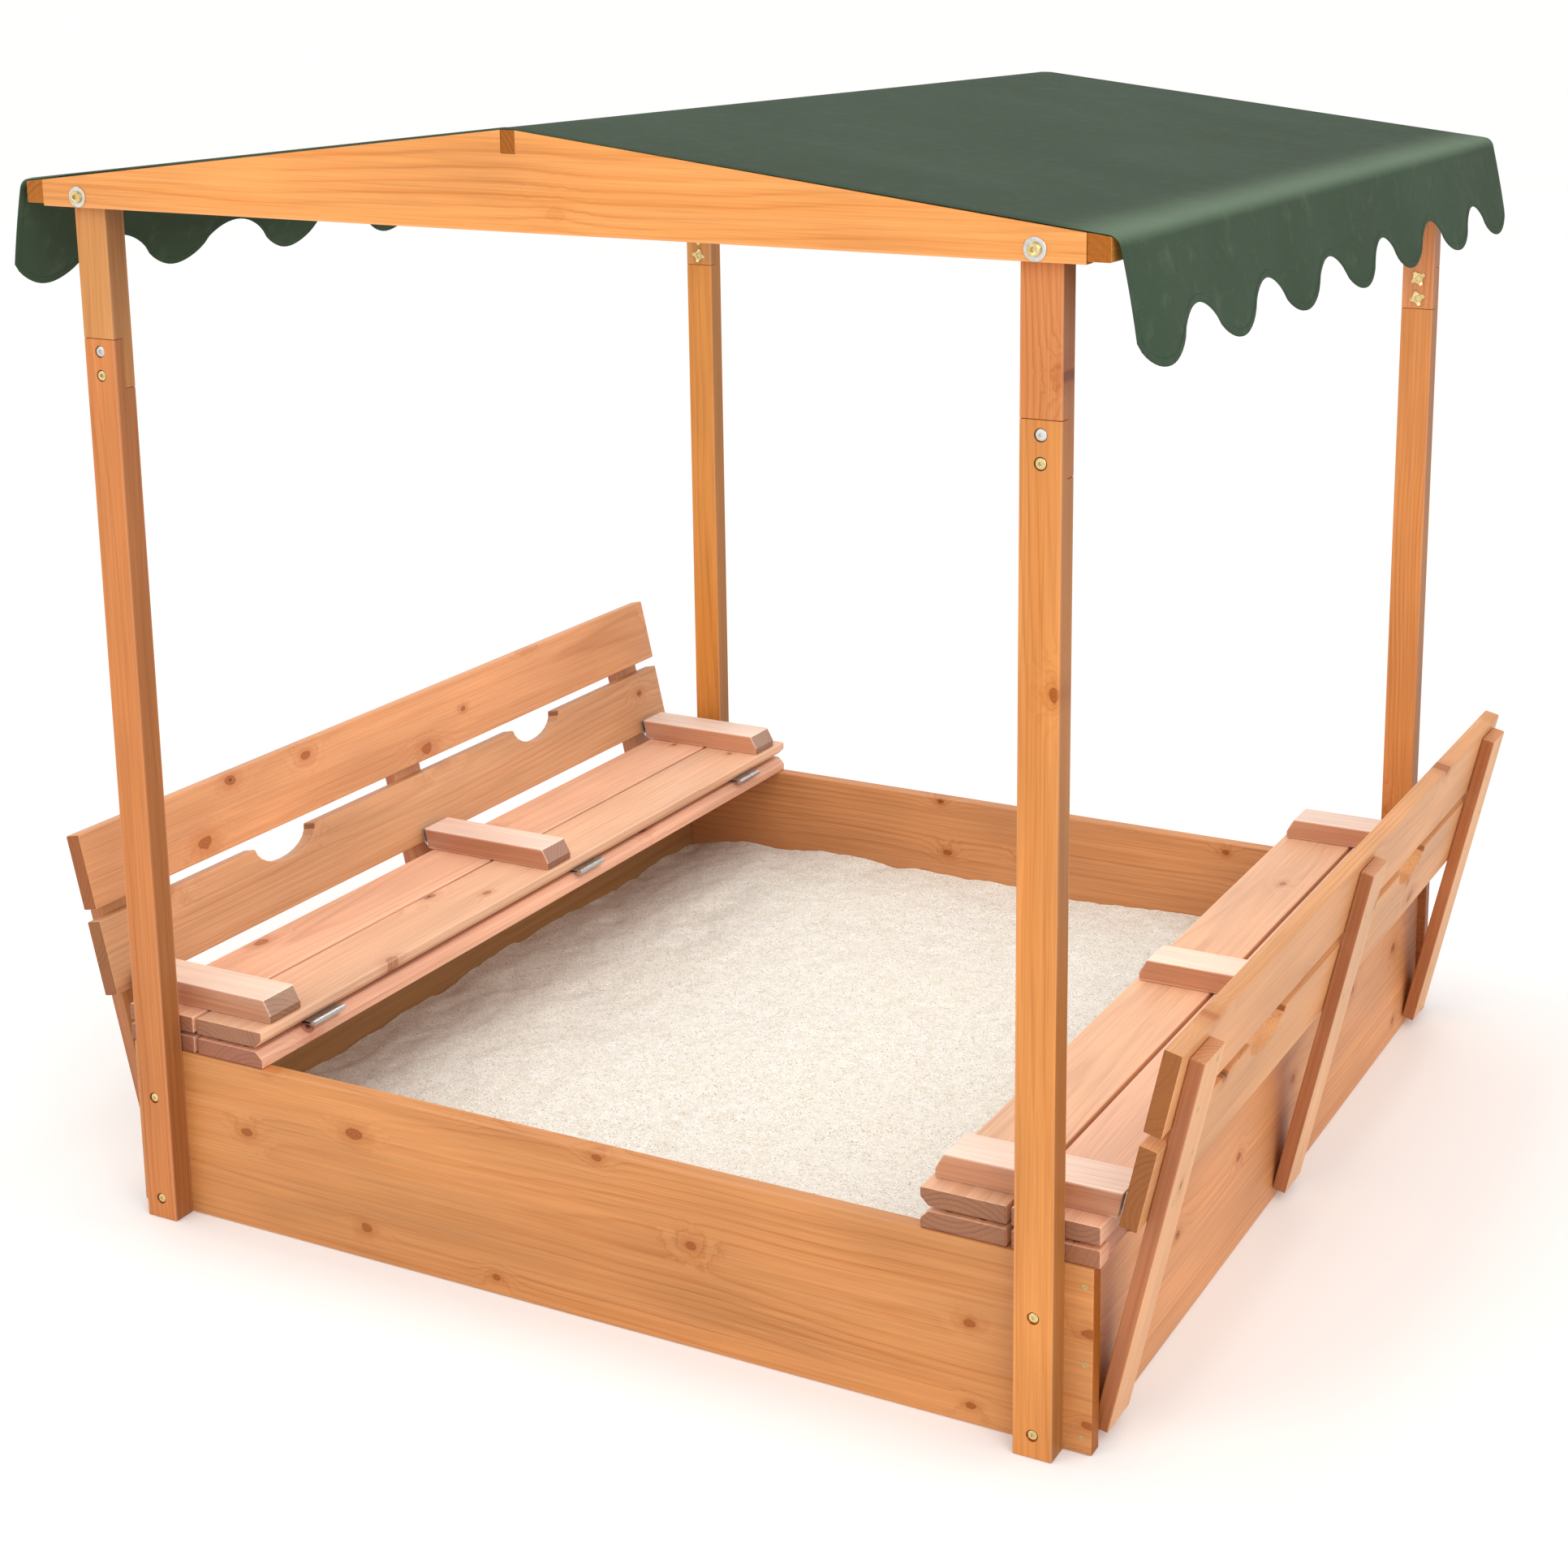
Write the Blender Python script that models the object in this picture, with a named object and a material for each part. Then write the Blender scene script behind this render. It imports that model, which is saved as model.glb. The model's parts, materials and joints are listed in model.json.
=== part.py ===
"""Wooden sandbox with a fabric roof and two fold-out bench covers.

Metres, +Z up. X runs along the front wall, Y from the front to the back.
The origin is on the ground, under the middle of the box. The sandbox is
modelled open: each cover half is folded out into a bench with a backrest.
Every bench piece is drawn for the right-hand side and mirrored in X.
"""
import math

import bmesh
import bpy
from mathutils import Vector

CLEARANCE = 0.0003          # gap between pieces that touch
EDGE_ROUND = 0.0016         # rounding of planed timber edges
SAWN_ROUND = 0.0008         # rounding of the posts' and eave beams' edges
THIN_ROUND = 0.0006         # rounding of the gables' and the ridge's edges
ROUND_SEGMENTS = 20

# Box
WALL_HALF_LENGTH = 0.590    # half the length of the front wall
BOX_HALF_DEPTH = 0.590      # outer face of the front and back walls
WALL_THICKNESS = 0.018
SEAT_BASE_Z = 0.196         # underside of the boards that lie on the walls
WALL_HEIGHT = SEAT_BASE_Z - CLEARANCE
SIDE_WALL_OUTER_X = 0.580
SAND_LEVEL = 0.075
SAND_SWELL = 0.007          # height of the soft mounds in the sand
SAND_WAVE_X = (9.0, 1.3)    # mounds along X: radians per metre, phase
SAND_WAVE_Y = (8.0, -0.6)   # mounds along Y: radians per metre, phase
SAND_CELLS = 10

# Posts, each spliced from two pieces by a half lap
POST_OUTER_X = 0.560
POST_WIDTH = 0.041
POST_DEPTH = 0.027
POST_TOP_Z = 1.160
LAP_LOW_Z = 0.954
LAP_HIGH_Z = 1.007
LAP_BOLT_Z = (0.9680, 0.9935)
BASE_BOLT_Z = (0.0240, 0.1470)
BOLT_SEAT_RADIUS = 0.0064
BOLT_SEAT_DEPTH = 0.0030

# Roof frame and canopy
GABLE_THICKNESS = 0.015
GABLE_HALF_LENGTH = 0.587
GABLE_LOW_Z = 1.146
EAVE_SIZE = 0.022
EAVE_LOW_Z = 1.1486
RIDGE_WIDTH = 0.0155
RIDGE_LOW_Z = 1.2197
RIDGE_HEIGHT = 0.0218
CANOPY_THICKNESS = 0.0015
CANOPY_BEND_RADIUS = 0.0125
CANOPY_BEND_INSET = 0.0038  # bend centre, inward from the eave beam's outer edge
CANOPY_BEND_SINK = 0.0107   # bend centre, below the eave beam's top
CANOPY_BEND_STEPS = 5
VALANCE_FLARE = math.radians(14)
VALANCE_MEAN_DROP = 0.088
SCALLOP_DEPTH = 0.044
SCALLOP_SQUARENESS = 0.75   # below 1 steepens the sides between lobes and arches
SCALLOP_LOBES = 7
SCALLOP_PITCH = 0.1935
STEPS_PER_LOBE = 8

# Benches: boards in pairs
BOARD_WIDTH = 0.092
BOARD_THICKNESS = 0.019
BOARD_GAP = 0.005
BENCH_HALF_LENGTH = 0.588
BENCH_OUTER_X = 0.595
HINGE_EDGE_CHAMFER = 0.009
BATTEN_WIDTH = 0.052
BATTEN_HEIGHT = 0.027
BATTEN_NOSE_Y = 0.565       # outer face of the end battens and end braces
BATTEN_INSET = 0.005        # from the seat's hinge edge
BATTEN_OVERHANG = 0.0075    # past the seat's rear edge
BATTEN_NOSE_LENGTH = 0.010
BATTEN_NOSE_HEIGHT = 0.018

# Seat hinges, between the lower and the upper boards
HINGE_GAP = 0.005
SEAT_BARREL_RADIUS = 0.0035
SEAT_LEAF_THICKNESS = 0.0015
SEAT_LEAF_WIDTH = 0.024
SEAT_HINGE_LENGTH = 0.055
SEAT_HINGE_OFFSET = 0.0085  # from a batten's side to the hinge beside it

# Backrest and its hinges on the battens' rear ends
BACKREST_TILT = math.radians(12.7)
BACKREST_BOARD_WIDTH = 0.088
BACKREST_BOARD_GAP = 0.014
BACKREST_START = 0.003      # lower edge, measured along the board from the axis
BACKREST_FACE = 0.005       # front face, measured across the board from the axis
BACK_BARREL_RADIUS = 0.003
BACK_LEAF_THICKNESS = 0.0012
BACK_LEAF_HEIGHT = 0.021
BACK_HINGE_LENGTH = 0.040
BRACE_WIDTH = 0.056
BRACE_THICKNESS = 0.016
BRACE_TOP_INSET = 0.011
BRACE_WALL_GAP = 0.0004
RELIEF_LOW_DEPTH = 0.0035   # slanted relief in the outer base board, at its underside
RELIEF_HIGH_DEPTH = 0.0135  # the same relief at the board's top
RELIEF_SIDE_GAP = 0.002     # from a brace's side to the relief's end
GRIP_HALF_LENGTH = 0.055
GRIP_DEPTH = 0.028
GRIP_CENTRE_Y = 0.270

# Worked out from the sizes above
POST_INNER_Y = BOX_HALF_DEPTH + CLEARANCE
POST_OUTER_Y = POST_INNER_Y + POST_DEPTH
GABLE_INNER_Y = POST_OUTER_Y + CLEARANCE
ROOF_HALF_DEPTH = GABLE_INNER_Y + GABLE_THICKNESS
RIDGE_TOP_Z = RIDGE_LOW_Z + RIDGE_HEIGHT
EAVE_TOP_Z = EAVE_LOW_Z + EAVE_SIZE
EAVE_INNER_X = GABLE_HALF_LENGTH + CLEARANCE
EAVE_OUTER_X = EAVE_INNER_X + EAVE_SIZE

BASE_TOP_Z = SEAT_BASE_Z + BOARD_THICKNESS
SEAT_LOW_Z = BASE_TOP_Z + HINGE_GAP
SEAT_TOP_Z = SEAT_LOW_Z + BOARD_THICKNESS
BENCH_INNER_X = BENCH_OUTER_X - 2 * BOARD_WIDTH - BOARD_GAP
SEAT_AXIS_X = BENCH_INNER_X - 0.002
SEAT_AXIS_Z = BASE_TOP_Z + HINGE_GAP / 2
BATTEN_REAR_X = BENCH_OUTER_X + BATTEN_OVERHANG

BACK_AXIS_Z = SEAT_TOP_Z - 0.0005 + BACKREST_FACE
BACK_AXIS_X = BATTEN_REAR_X + (
    CLEARANCE + BACK_BARREL_RADIUS + (BACK_AXIS_Z - SEAT_TOP_Z) * math.sin(BACKREST_TILT)
) / math.cos(BACKREST_TILT)

# Finishes: linear colour, roughness, metallic
FINISHES = {
    "wall_wood": ((0.61, 0.25, 0.08), 0.60, 0.0),
    "post_wood": ((0.71, 0.31, 0.08), 0.55, 0.0),
    "roof_wood": ((0.80, 0.37, 0.09), 0.55, 0.0),
    "bench_wood": ((0.72, 0.36, 0.17), 0.60, 0.0),
    "canopy_fabric": ((0.08, 0.13, 0.09), 0.65, 0.0),
    "zinc_steel": ((0.72, 0.71, 0.66), 0.35, 1.0),
    "sand": ((0.75, 0.68, 0.55), 0.95, 0.0),
}

SIDES = (("left", -1), ("right", 1))
ENDS = (("front", -1), ("back", 1))
RIBS = (
    ("front", -BATTEN_NOSE_Y + BATTEN_WIDTH / 2, 1),
    ("middle", 0.0, 1),
    ("back", BATTEN_NOSE_Y - BATTEN_WIDTH / 2, -1),
)


class Plane:
    """A flat drawing plane: two in-plane axes and the direction of extrusion."""

    def __init__(self, origin, across, along, depth):
        self.origin = Vector(origin)
        self.across = Vector(across)
        self.along = Vector(along)
        self.depth = Vector(depth)

    def point(self, across, along, depth):
        return self.origin + self.across * across + self.along * along + self.depth * depth


def clear_scene():
    for item in list(bpy.data.objects):
        bpy.data.objects.remove(item, do_unlink=True)


def make_material(name, finish):
    colour, roughness, metallic = FINISHES[finish]
    material = bpy.data.materials.new(name + "_" + finish)
    material.use_nodes = True
    shader = material.node_tree.nodes["Principled BSDF"]
    shader.inputs["Base Color"].default_value = (*colour, 1.0)
    shader.inputs["Roughness"].default_value = roughness
    shader.inputs["Metallic"].default_value = metallic
    material.diffuse_color = (*colour, 1.0)
    return material


def finish_object(name, bm, finish, pivot=(0.0, 0.0, 0.0), smooth=False):
    """Turn a bmesh in world coordinates into an object whose origin is its pivot."""
    bmesh.ops.recalc_face_normals(bm, faces=bm.faces)
    bmesh.ops.translate(bm, verts=bm.verts, vec=-Vector(pivot))
    mesh = bpy.data.meshes.new(name)
    bm.to_mesh(mesh)
    bm.free()
    mesh.materials.append(make_material(name, finish))
    if smooth:
        mesh.shade_smooth()
        mesh.set_sharp_from_angle(angle=math.radians(35))
    item = bpy.data.objects.new(name, mesh)
    item.location = pivot
    bpy.context.scene.collection.objects.link(item)
    return item


def prism(outline, plane, start, end, edge_round=EDGE_ROUND):
    """Extrude a closed outline along a plane's depth and round its sharp edges."""
    bm = bmesh.new()
    near = [bm.verts.new(plane.point(a, b, start)) for a, b in outline]
    far = [bm.verts.new(plane.point(a, b, end)) for a, b in outline]
    bm.faces.new(near)
    bm.faces.new(list(reversed(far)))
    count = len(outline)
    for index in range(count):
        after = (index + 1) % count
        bm.faces.new((near[index], far[index], far[after], near[after]))
    bmesh.ops.recalc_face_normals(bm, faces=bm.faces)
    if edge_round:
        sharp = [e for e in bm.edges if e.calc_face_angle(0.0) > math.radians(30)]
        bmesh.ops.bevel(
            bm,
            geom=sharp,
            offset=edge_round,
            offset_type="OFFSET",
            segments=2,
            profile=0.5,
            affect="EDGES",
            clamp_overlap=True,
        )
    return bm


def rectangle(low_a, high_a, low_b, high_b):
    return [(low_a, low_b), (high_a, low_b), (high_a, high_b), (low_a, high_b)]


def arc(centre, radius, start, end, segments):
    """Points on a circle from one angle to another, both ends included."""
    points = []
    for step in range(segments + 1):
        angle = start + (end - start) * step / segments
        points.append((centre[0] + radius * math.cos(angle), centre[1] + radius * math.sin(angle)))
    return points


def upright_plane(side=1):
    """X-Z drawing plane, extruded along Y."""
    return Plane((0, 0, 0), (side, 0, 0), (0, 0, 1), (0, 1, 0))


def cut_away(item, bm, location=(0.0, 0.0, 0.0), rotation=(0.0, 0.0, 0.0)):
    """Cut the volume of a bmesh out of an object with a Boolean modifier."""
    mesh = bpy.data.meshes.new(item.name + "_cutter")
    bm.to_mesh(mesh)
    bm.free()
    cutter = bpy.data.objects.new(mesh.name, mesh)
    cutter.location = location
    cutter.rotation_euler = rotation
    cutter.hide_render = True
    cutter.display_type = "WIRE"
    bpy.context.scene.collection.objects.link(cutter)
    cut = item.modifiers.new("cut", "BOOLEAN")
    cut.operation = "DIFFERENCE"
    cut.object = cutter


def drill_bolt_seat(item, x, outer_y, z):
    """Sink a round seat for a bolt head into a post's outer face."""
    bm = bmesh.new()
    bmesh.ops.create_cone(
        bm,
        cap_ends=True,
        segments=ROUND_SEGMENTS,
        radius1=BOLT_SEAT_RADIUS,
        radius2=BOLT_SEAT_RADIUS,
        depth=2 * BOLT_SEAT_DEPTH,
    )
    cut_away(item, bm, (x, outer_y, z), (math.pi / 2, 0, 0))


# Box ---------------------------------------------------------------------------------------


def build_walls():
    plane = upright_plane()
    inner_y = BOX_HALF_DEPTH - WALL_THICKNESS
    for end_name, end in ENDS:
        outline = rectangle(-WALL_HALF_LENGTH, WALL_HALF_LENGTH, 0.0, WALL_HEIGHT)
        bm = prism(outline, plane, end * inner_y, end * BOX_HALF_DEPTH)
        finish_object(end_name + "_wall", bm, "wall_wood")
    half_run = inner_y - CLEARANCE
    for side_name, side in SIDES:
        inner_x = SIDE_WALL_OUTER_X - WALL_THICKNESS
        outline = rectangle(inner_x, SIDE_WALL_OUTER_X, 0.0, WALL_HEIGHT)
        bm = prism(outline, upright_plane(side), -half_run, half_run)
        finish_object(side_name + "_wall", bm, "wall_wood")


def build_sand():
    """Sand that fills the box to well under half its depth, with a softly uneven top."""
    bm = bmesh.new()
    half_x = SIDE_WALL_OUTER_X - WALL_THICKNESS - 2 * CLEARANCE
    half_y = BOX_HALF_DEPTH - WALL_THICKNESS - 2 * CLEARANCE
    grid = []
    for row in range(SAND_CELLS + 1):
        line = []
        for column in range(SAND_CELLS + 1):
            x = half_x * (2 * column / SAND_CELLS - 1)
            y = half_y * (2 * row / SAND_CELLS - 1)
            swell = math.sin(SAND_WAVE_X[0] * x + SAND_WAVE_X[1])
            swell *= math.cos(SAND_WAVE_Y[0] * y + SAND_WAVE_Y[1])
            line.append(bm.verts.new((x, y, SAND_LEVEL + SAND_SWELL * swell)))
        grid.append(line)
    for row in range(SAND_CELLS):
        for column in range(SAND_CELLS):
            bm.faces.new((
                grid[row][column],
                grid[row][column + 1],
                grid[row + 1][column + 1],
                grid[row + 1][column],
            ))
    rim = [e for e in bm.edges if e.is_boundary]
    skirt = bmesh.ops.extrude_edge_only(bm, edges=rim)["geom"]
    lower = [v for v in skirt if isinstance(v, bmesh.types.BMVert)]
    for vert in lower:
        vert.co.z = CLEARANCE
    bmesh.ops.contextual_create(bm, geom=[e for e in bm.edges if e.is_boundary])
    finish_object("sand_fill", bm, "sand", smooth=True)


# Posts -------------------------------------------------------------------------------------


def build_posts():
    """Each post is two pieces: the lower one keeps its outer half in the lap, the upper one
    its inner half."""
    half = POST_DEPTH / 2
    gap = CLEARANCE
    lower_outline = [
        (0.0, 0.0),
        (POST_DEPTH, 0.0),
        (POST_DEPTH, LAP_HIGH_Z),
        (half + gap / 2, LAP_HIGH_Z),
        (half + gap / 2, LAP_LOW_Z),
        (0.0, LAP_LOW_Z),
    ]
    upper_outline = [
        (0.0, LAP_LOW_Z + gap),
        (half - gap / 2, LAP_LOW_Z + gap),
        (half - gap / 2, LAP_HIGH_Z + gap),
        (POST_DEPTH, LAP_HIGH_Z + gap),
        (POST_DEPTH, POST_TOP_Z),
        (0.0, POST_TOP_Z),
    ]
    inner_x = POST_OUTER_X - POST_WIDTH
    centre_x = POST_OUTER_X - POST_WIDTH / 2
    for end_name, end in ENDS:
        for side_name, side in SIDES:
            plane = Plane((0, end * POST_INNER_Y, 0), (0, end, 0), (0, 0, 1), (side, 0, 0))
            name = end_name + "_" + side_name + "_post_"
            lower = prism(lower_outline, plane, inner_x, POST_OUTER_X, SAWN_ROUND)
            item = finish_object(name + "lower", lower, "post_wood")
            for bolt_z in BASE_BOLT_Z + LAP_BOLT_Z:
                drill_bolt_seat(item, side * centre_x, end * POST_OUTER_Y, bolt_z)
            upper = prism(upper_outline, plane, inner_x, POST_OUTER_X, SAWN_ROUND)
            finish_object(name + "upper", upper, "post_wood")


# Roof --------------------------------------------------------------------------------------


def roof_height(x):
    """Underside of the canopy between the ridge and the eave's outer edge."""
    ridge_x = RIDGE_WIDTH / 2
    fall = (RIDGE_TOP_Z - EAVE_TOP_Z) / (EAVE_OUTER_X - ridge_x)
    return RIDGE_TOP_Z + CLEARANCE - fall * max(0.0, abs(x) - ridge_x)


def build_roof_frame():
    slot_x = RIDGE_WIDTH / 2 + CLEARANCE
    crest = roof_height(slot_x) - CLEARANCE
    shoulder = roof_height(GABLE_HALF_LENGTH) - CLEARANCE
    gable = [
        (-GABLE_HALF_LENGTH, GABLE_LOW_Z),
        (GABLE_HALF_LENGTH, GABLE_LOW_Z),
        (GABLE_HALF_LENGTH, shoulder),
        (slot_x, crest),
        (slot_x, RIDGE_LOW_Z - CLEARANCE),
        (-slot_x, RIDGE_LOW_Z - CLEARANCE),
        (-slot_x, crest),
        (-GABLE_HALF_LENGTH, shoulder),
    ]
    for end_name, end in ENDS:
        bm = prism(gable, upright_plane(), end * GABLE_INNER_Y, end * ROOF_HALF_DEPTH, THIN_ROUND)
        finish_object(end_name + "_gable", bm, "roof_wood")
    ridge = rectangle(-RIDGE_WIDTH / 2, RIDGE_WIDTH / 2, RIDGE_LOW_Z, RIDGE_TOP_Z)
    bm = prism(ridge, upright_plane(), -ROOF_HALF_DEPTH, ROOF_HALF_DEPTH, THIN_ROUND)
    finish_object("ridge_beam", bm, "roof_wood")
    # The eave beams' tops are planed to the slope of the roof
    eave = [
        (EAVE_INNER_X, EAVE_LOW_Z),
        (EAVE_OUTER_X, EAVE_LOW_Z),
        (EAVE_OUTER_X, EAVE_TOP_Z),
        (EAVE_INNER_X, roof_height(EAVE_INNER_X) - CLEARANCE),
    ]
    for side_name, side in SIDES:
        bm = prism(eave, upright_plane(side), -ROOF_HALF_DEPTH, ROOF_HALF_DEPTH, SAWN_ROUND)
        finish_object(side_name + "_eave_beam", bm, "roof_wood")


def valance_drop(y):
    """Length of the valance below the bend: lobes at both ends, arches between them."""
    wave = math.cos(2 * math.pi * y / SCALLOP_PITCH)
    squared = math.copysign(abs(wave) ** SCALLOP_SQUARENESS, wave)
    return VALANCE_MEAN_DROP + SCALLOP_DEPTH / 2 * squared


def canopy_half_profile(drop):
    """Underside points and outward normals from the ridge down to the valance's edge."""
    slope_angle = math.atan2(
        roof_height(RIDGE_WIDTH / 2) - roof_height(EAVE_OUTER_X), EAVE_OUTER_X - RIDGE_WIDTH / 2
    )
    normal_start = math.pi / 2 - slope_angle
    normal_end = VALANCE_FLARE
    bend = (EAVE_OUTER_X - CANOPY_BEND_INSET, EAVE_TOP_Z - CANOPY_BEND_SINK)
    points = [((0.0, RIDGE_TOP_Z + CLEARANCE), math.pi / 2)]
    points.append(((RIDGE_WIDTH / 2, RIDGE_TOP_Z + CLEARANCE), normal_start))
    for step in range(CANOPY_BEND_STEPS + 1):
        angle = normal_start + (normal_end - normal_start) * step / CANOPY_BEND_STEPS
        place = (
            bend[0] + CANOPY_BEND_RADIUS * math.cos(angle),
            bend[1] + CANOPY_BEND_RADIUS * math.sin(angle),
        )
        points.append((place, angle))
    last = points[-1][0]
    for part in (0.5, 1.0):
        place = (
            last[0] + drop * part * math.sin(VALANCE_FLARE),
            last[1] - drop * part * math.cos(VALANCE_FLARE),
        )
        points.append((place, VALANCE_FLARE))
    return points


def build_canopy():
    """One sheet over ridge and eaves, ending in a scalloped valance on each side."""
    rows = SCALLOP_LOBES * STEPS_PER_LOBE
    bm = bmesh.new()
    under = []
    over = []
    for row in range(rows + 1):
        y = ROOF_HALF_DEPTH * (2 * row / rows - 1)
        half = canopy_half_profile(valance_drop(y))
        full = [(-x, z, math.pi - angle) for (x, z), angle in reversed(half[1:])]
        full += [(x, z, angle) for (x, z), angle in half]
        under.append([bm.verts.new((x, y, z)) for x, z, angle in full])
        over.append([
            bm.verts.new((
                x + CANOPY_THICKNESS * math.cos(angle),
                y,
                z + CANOPY_THICKNESS * math.sin(angle),
            ))
            for x, z, angle in full
        ])
    columns = len(under[0])
    for row in range(rows):
        for column in range(columns - 1):
            for sheet in (under, over):
                bm.faces.new((
                    sheet[row][column],
                    sheet[row][column + 1],
                    sheet[row + 1][column + 1],
                    sheet[row + 1][column],
                ))
        for column in (0, columns - 1):
            bm.faces.new((
                under[row][column],
                under[row + 1][column],
                over[row + 1][column],
                over[row][column],
            ))
    for row in (0, rows):
        for column in range(columns - 1):
            bm.faces.new((
                under[row][column],
                under[row][column + 1],
                over[row][column + 1],
                over[row][column],
            ))
    finish_object("canopy", bm, "canopy_fabric", smooth=True)


# Benches -----------------------------------------------------------------------------------


def build_flat_boards(side_name, side):
    """The two boards fixed on the walls, and the two hinged seat boards above them."""
    plane = upright_plane(side)
    pivot = (side * SEAT_AXIS_X, 0.0, SEAT_AXIS_Z)
    cut = HINGE_EDGE_CHAMFER
    inner = BENCH_INNER_X
    outer = BENCH_INNER_X + BOARD_WIDTH
    fixed = [
        (inner, SEAT_BASE_Z),
        (outer, SEAT_BASE_Z),
        (outer, BASE_TOP_Z),
        (inner + cut, BASE_TOP_Z),
        (inner, BASE_TOP_Z - cut),
    ]
    moving = [
        (inner + cut, SEAT_LOW_Z),
        (outer, SEAT_LOW_Z),
        (outer, SEAT_TOP_Z),
        (inner, SEAT_TOP_Z),
        (inner, SEAT_LOW_Z + cut),
    ]
    span = (-BENCH_HALF_LENGTH, BENCH_HALF_LENGTH)
    finish_object(side_name + "_base_board_inner", prism(fixed, plane, *span), "bench_wood")
    finish_object(side_name + "_seat_board_inner", prism(moving, plane, *span), "bench_wood", pivot)
    low = BENCH_OUTER_X - BOARD_WIDTH
    fixed = rectangle(low, BENCH_OUTER_X, SEAT_BASE_Z, BASE_TOP_Z)
    moving = rectangle(low, BENCH_OUTER_X, SEAT_LOW_Z, SEAT_TOP_Z)
    board = finish_object(side_name + "_base_board_outer", prism(fixed, plane, *span), "bench_wood")
    for _, centre, _ in RIBS:
        cut_away(board, brace_relief(plane, brace_start(centre)))
    finish_object(side_name + "_seat_board_outer", prism(moving, plane, *span), "bench_wood", pivot)


def brace_start(centre):
    """Where a brace begins along the bench; the end braces stay flush with the end battens."""
    return max(-BATTEN_NOSE_Y, min(BATTEN_NOSE_Y - BRACE_WIDTH, centre - BRACE_WIDTH / 2))


def brace_relief(plane, start):
    """Slanted cut in the outer base board's edge, where a brace's foot swings past."""
    low_x = BENCH_OUTER_X - RELIEF_LOW_DEPTH
    high_x = BENCH_OUTER_X - RELIEF_HIGH_DEPTH
    outer_x = BENCH_OUTER_X + RELIEF_HIGH_DEPTH
    lean = (high_x - low_x) / BOARD_THICKNESS
    spare = EDGE_ROUND
    outline = [
        (low_x - lean * spare, SEAT_BASE_Z - spare),
        (outer_x, SEAT_BASE_Z - spare),
        (outer_x, BASE_TOP_Z + spare),
        (high_x + lean * spare, BASE_TOP_Z + spare),
    ]
    end = start + BRACE_WIDTH + RELIEF_SIDE_GAP
    return prism(outline, plane, start - RELIEF_SIDE_GAP, end, 0.0)


def build_battens(side_name, side):
    """Three cross battens that tie the seat boards and carry the backrest's hinges."""
    low = SEAT_TOP_Z + CLEARANCE
    high = low + BATTEN_HEIGHT
    front = BENCH_INNER_X + BATTEN_INSET
    rear_lean = BATTEN_HEIGHT * math.tan(BACKREST_TILT)
    outline = [
        (front, low),
        (BATTEN_REAR_X, low),
        (BATTEN_REAR_X + rear_lean, high),
        (front + BATTEN_NOSE_LENGTH, high),
        (front, high - BATTEN_NOSE_HEIGHT),
    ]
    pivot = (side * SEAT_AXIS_X, 0.0, SEAT_AXIS_Z)
    for rib_name, centre, _ in RIBS:
        start = centre - BATTEN_WIDTH / 2
        bm = prism(outline, upright_plane(side), start, start + BATTEN_WIDTH)
        finish_object(side_name + "_seat_batten_" + rib_name, bm, "bench_wood", pivot)


def build_seat_hinges(side_name, side):
    """Fixed leaf with its barrel, lying on the lower boards beside each batten."""
    leaf_low = -HINGE_GAP / 2 + CLEARANCE
    leaf_high = leaf_low + SEAT_LEAF_THICKNESS
    start = math.asin(leaf_high / SEAT_BARREL_RADIUS)
    end = 2 * math.pi + math.asin(leaf_low / SEAT_BARREL_RADIUS)
    outline = [(SEAT_LEAF_WIDTH, leaf_low), (SEAT_LEAF_WIDTH, leaf_high)]
    outline += arc((0.0, 0.0), SEAT_BARREL_RADIUS, start, end, 18)
    plane = Plane((side * SEAT_AXIS_X, 0, SEAT_AXIS_Z), (side, 0, 0), (0, 0, 1), (0, 1, 0))
    for rib_name, centre, toward in RIBS:
        near = centre + toward * (BATTEN_WIDTH / 2 + SEAT_HINGE_OFFSET)
        far = near + toward * SEAT_HINGE_LENGTH
        bm = prism(outline, plane, near, far, 0.0)
        finish_object(side_name + "_seat_hinge_" + rib_name, bm, "zinc_steel", smooth=True)


def backrest_plane(side):
    """Drawing plane through the backrest's axis: across the boards and up along them."""
    sine = math.sin(BACKREST_TILT)
    cosine = math.cos(BACKREST_TILT)
    axis = (side * BACK_AXIS_X, 0, BACK_AXIS_Z)
    return Plane(axis, (side * cosine, 0, -sine), (side * sine, 0, cosine), (0, 1, 0))


def build_back_hinges(side_name, side):
    """Leaf with its barrel on the rear end of each batten."""
    radius = BACK_BARREL_RADIUS
    leaf_front = -radius
    leaf_back = leaf_front + BACK_LEAF_THICKNESS
    start = math.acos(leaf_back / radius)
    outline = [(leaf_back, BACK_LEAF_HEIGHT), (leaf_front, BACK_LEAF_HEIGHT)]
    outline += list(reversed(arc((0.0, 0.0), radius, start, -math.pi, 16)))
    pivot = (side * SEAT_AXIS_X, 0.0, SEAT_AXIS_Z)
    for rib_name, centre, _ in RIBS:
        near = centre - BACK_HINGE_LENGTH / 2
        bm = prism(outline, backrest_plane(side), near, near + BACK_HINGE_LENGTH, 0.0)
        name = side_name + "_backrest_hinge_" + rib_name
        finish_object(name, bm, "zinc_steel", pivot, smooth=True)


def grip_edge(top):
    """Top edge of the lower backrest board, from the far end to the near one."""
    points = [(BENCH_HALF_LENGTH, top)]
    segments = 12
    for centre in (GRIP_CENTRE_Y, -GRIP_CENTRE_Y):
        for step in range(segments + 1):
            angle = math.pi * step / segments
            along_y = centre + GRIP_HALF_LENGTH * math.cos(angle)
            points.append((along_y, top - GRIP_DEPTH * math.sin(angle)))
    points.append((-BENCH_HALF_LENGTH, top))
    return points


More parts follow.
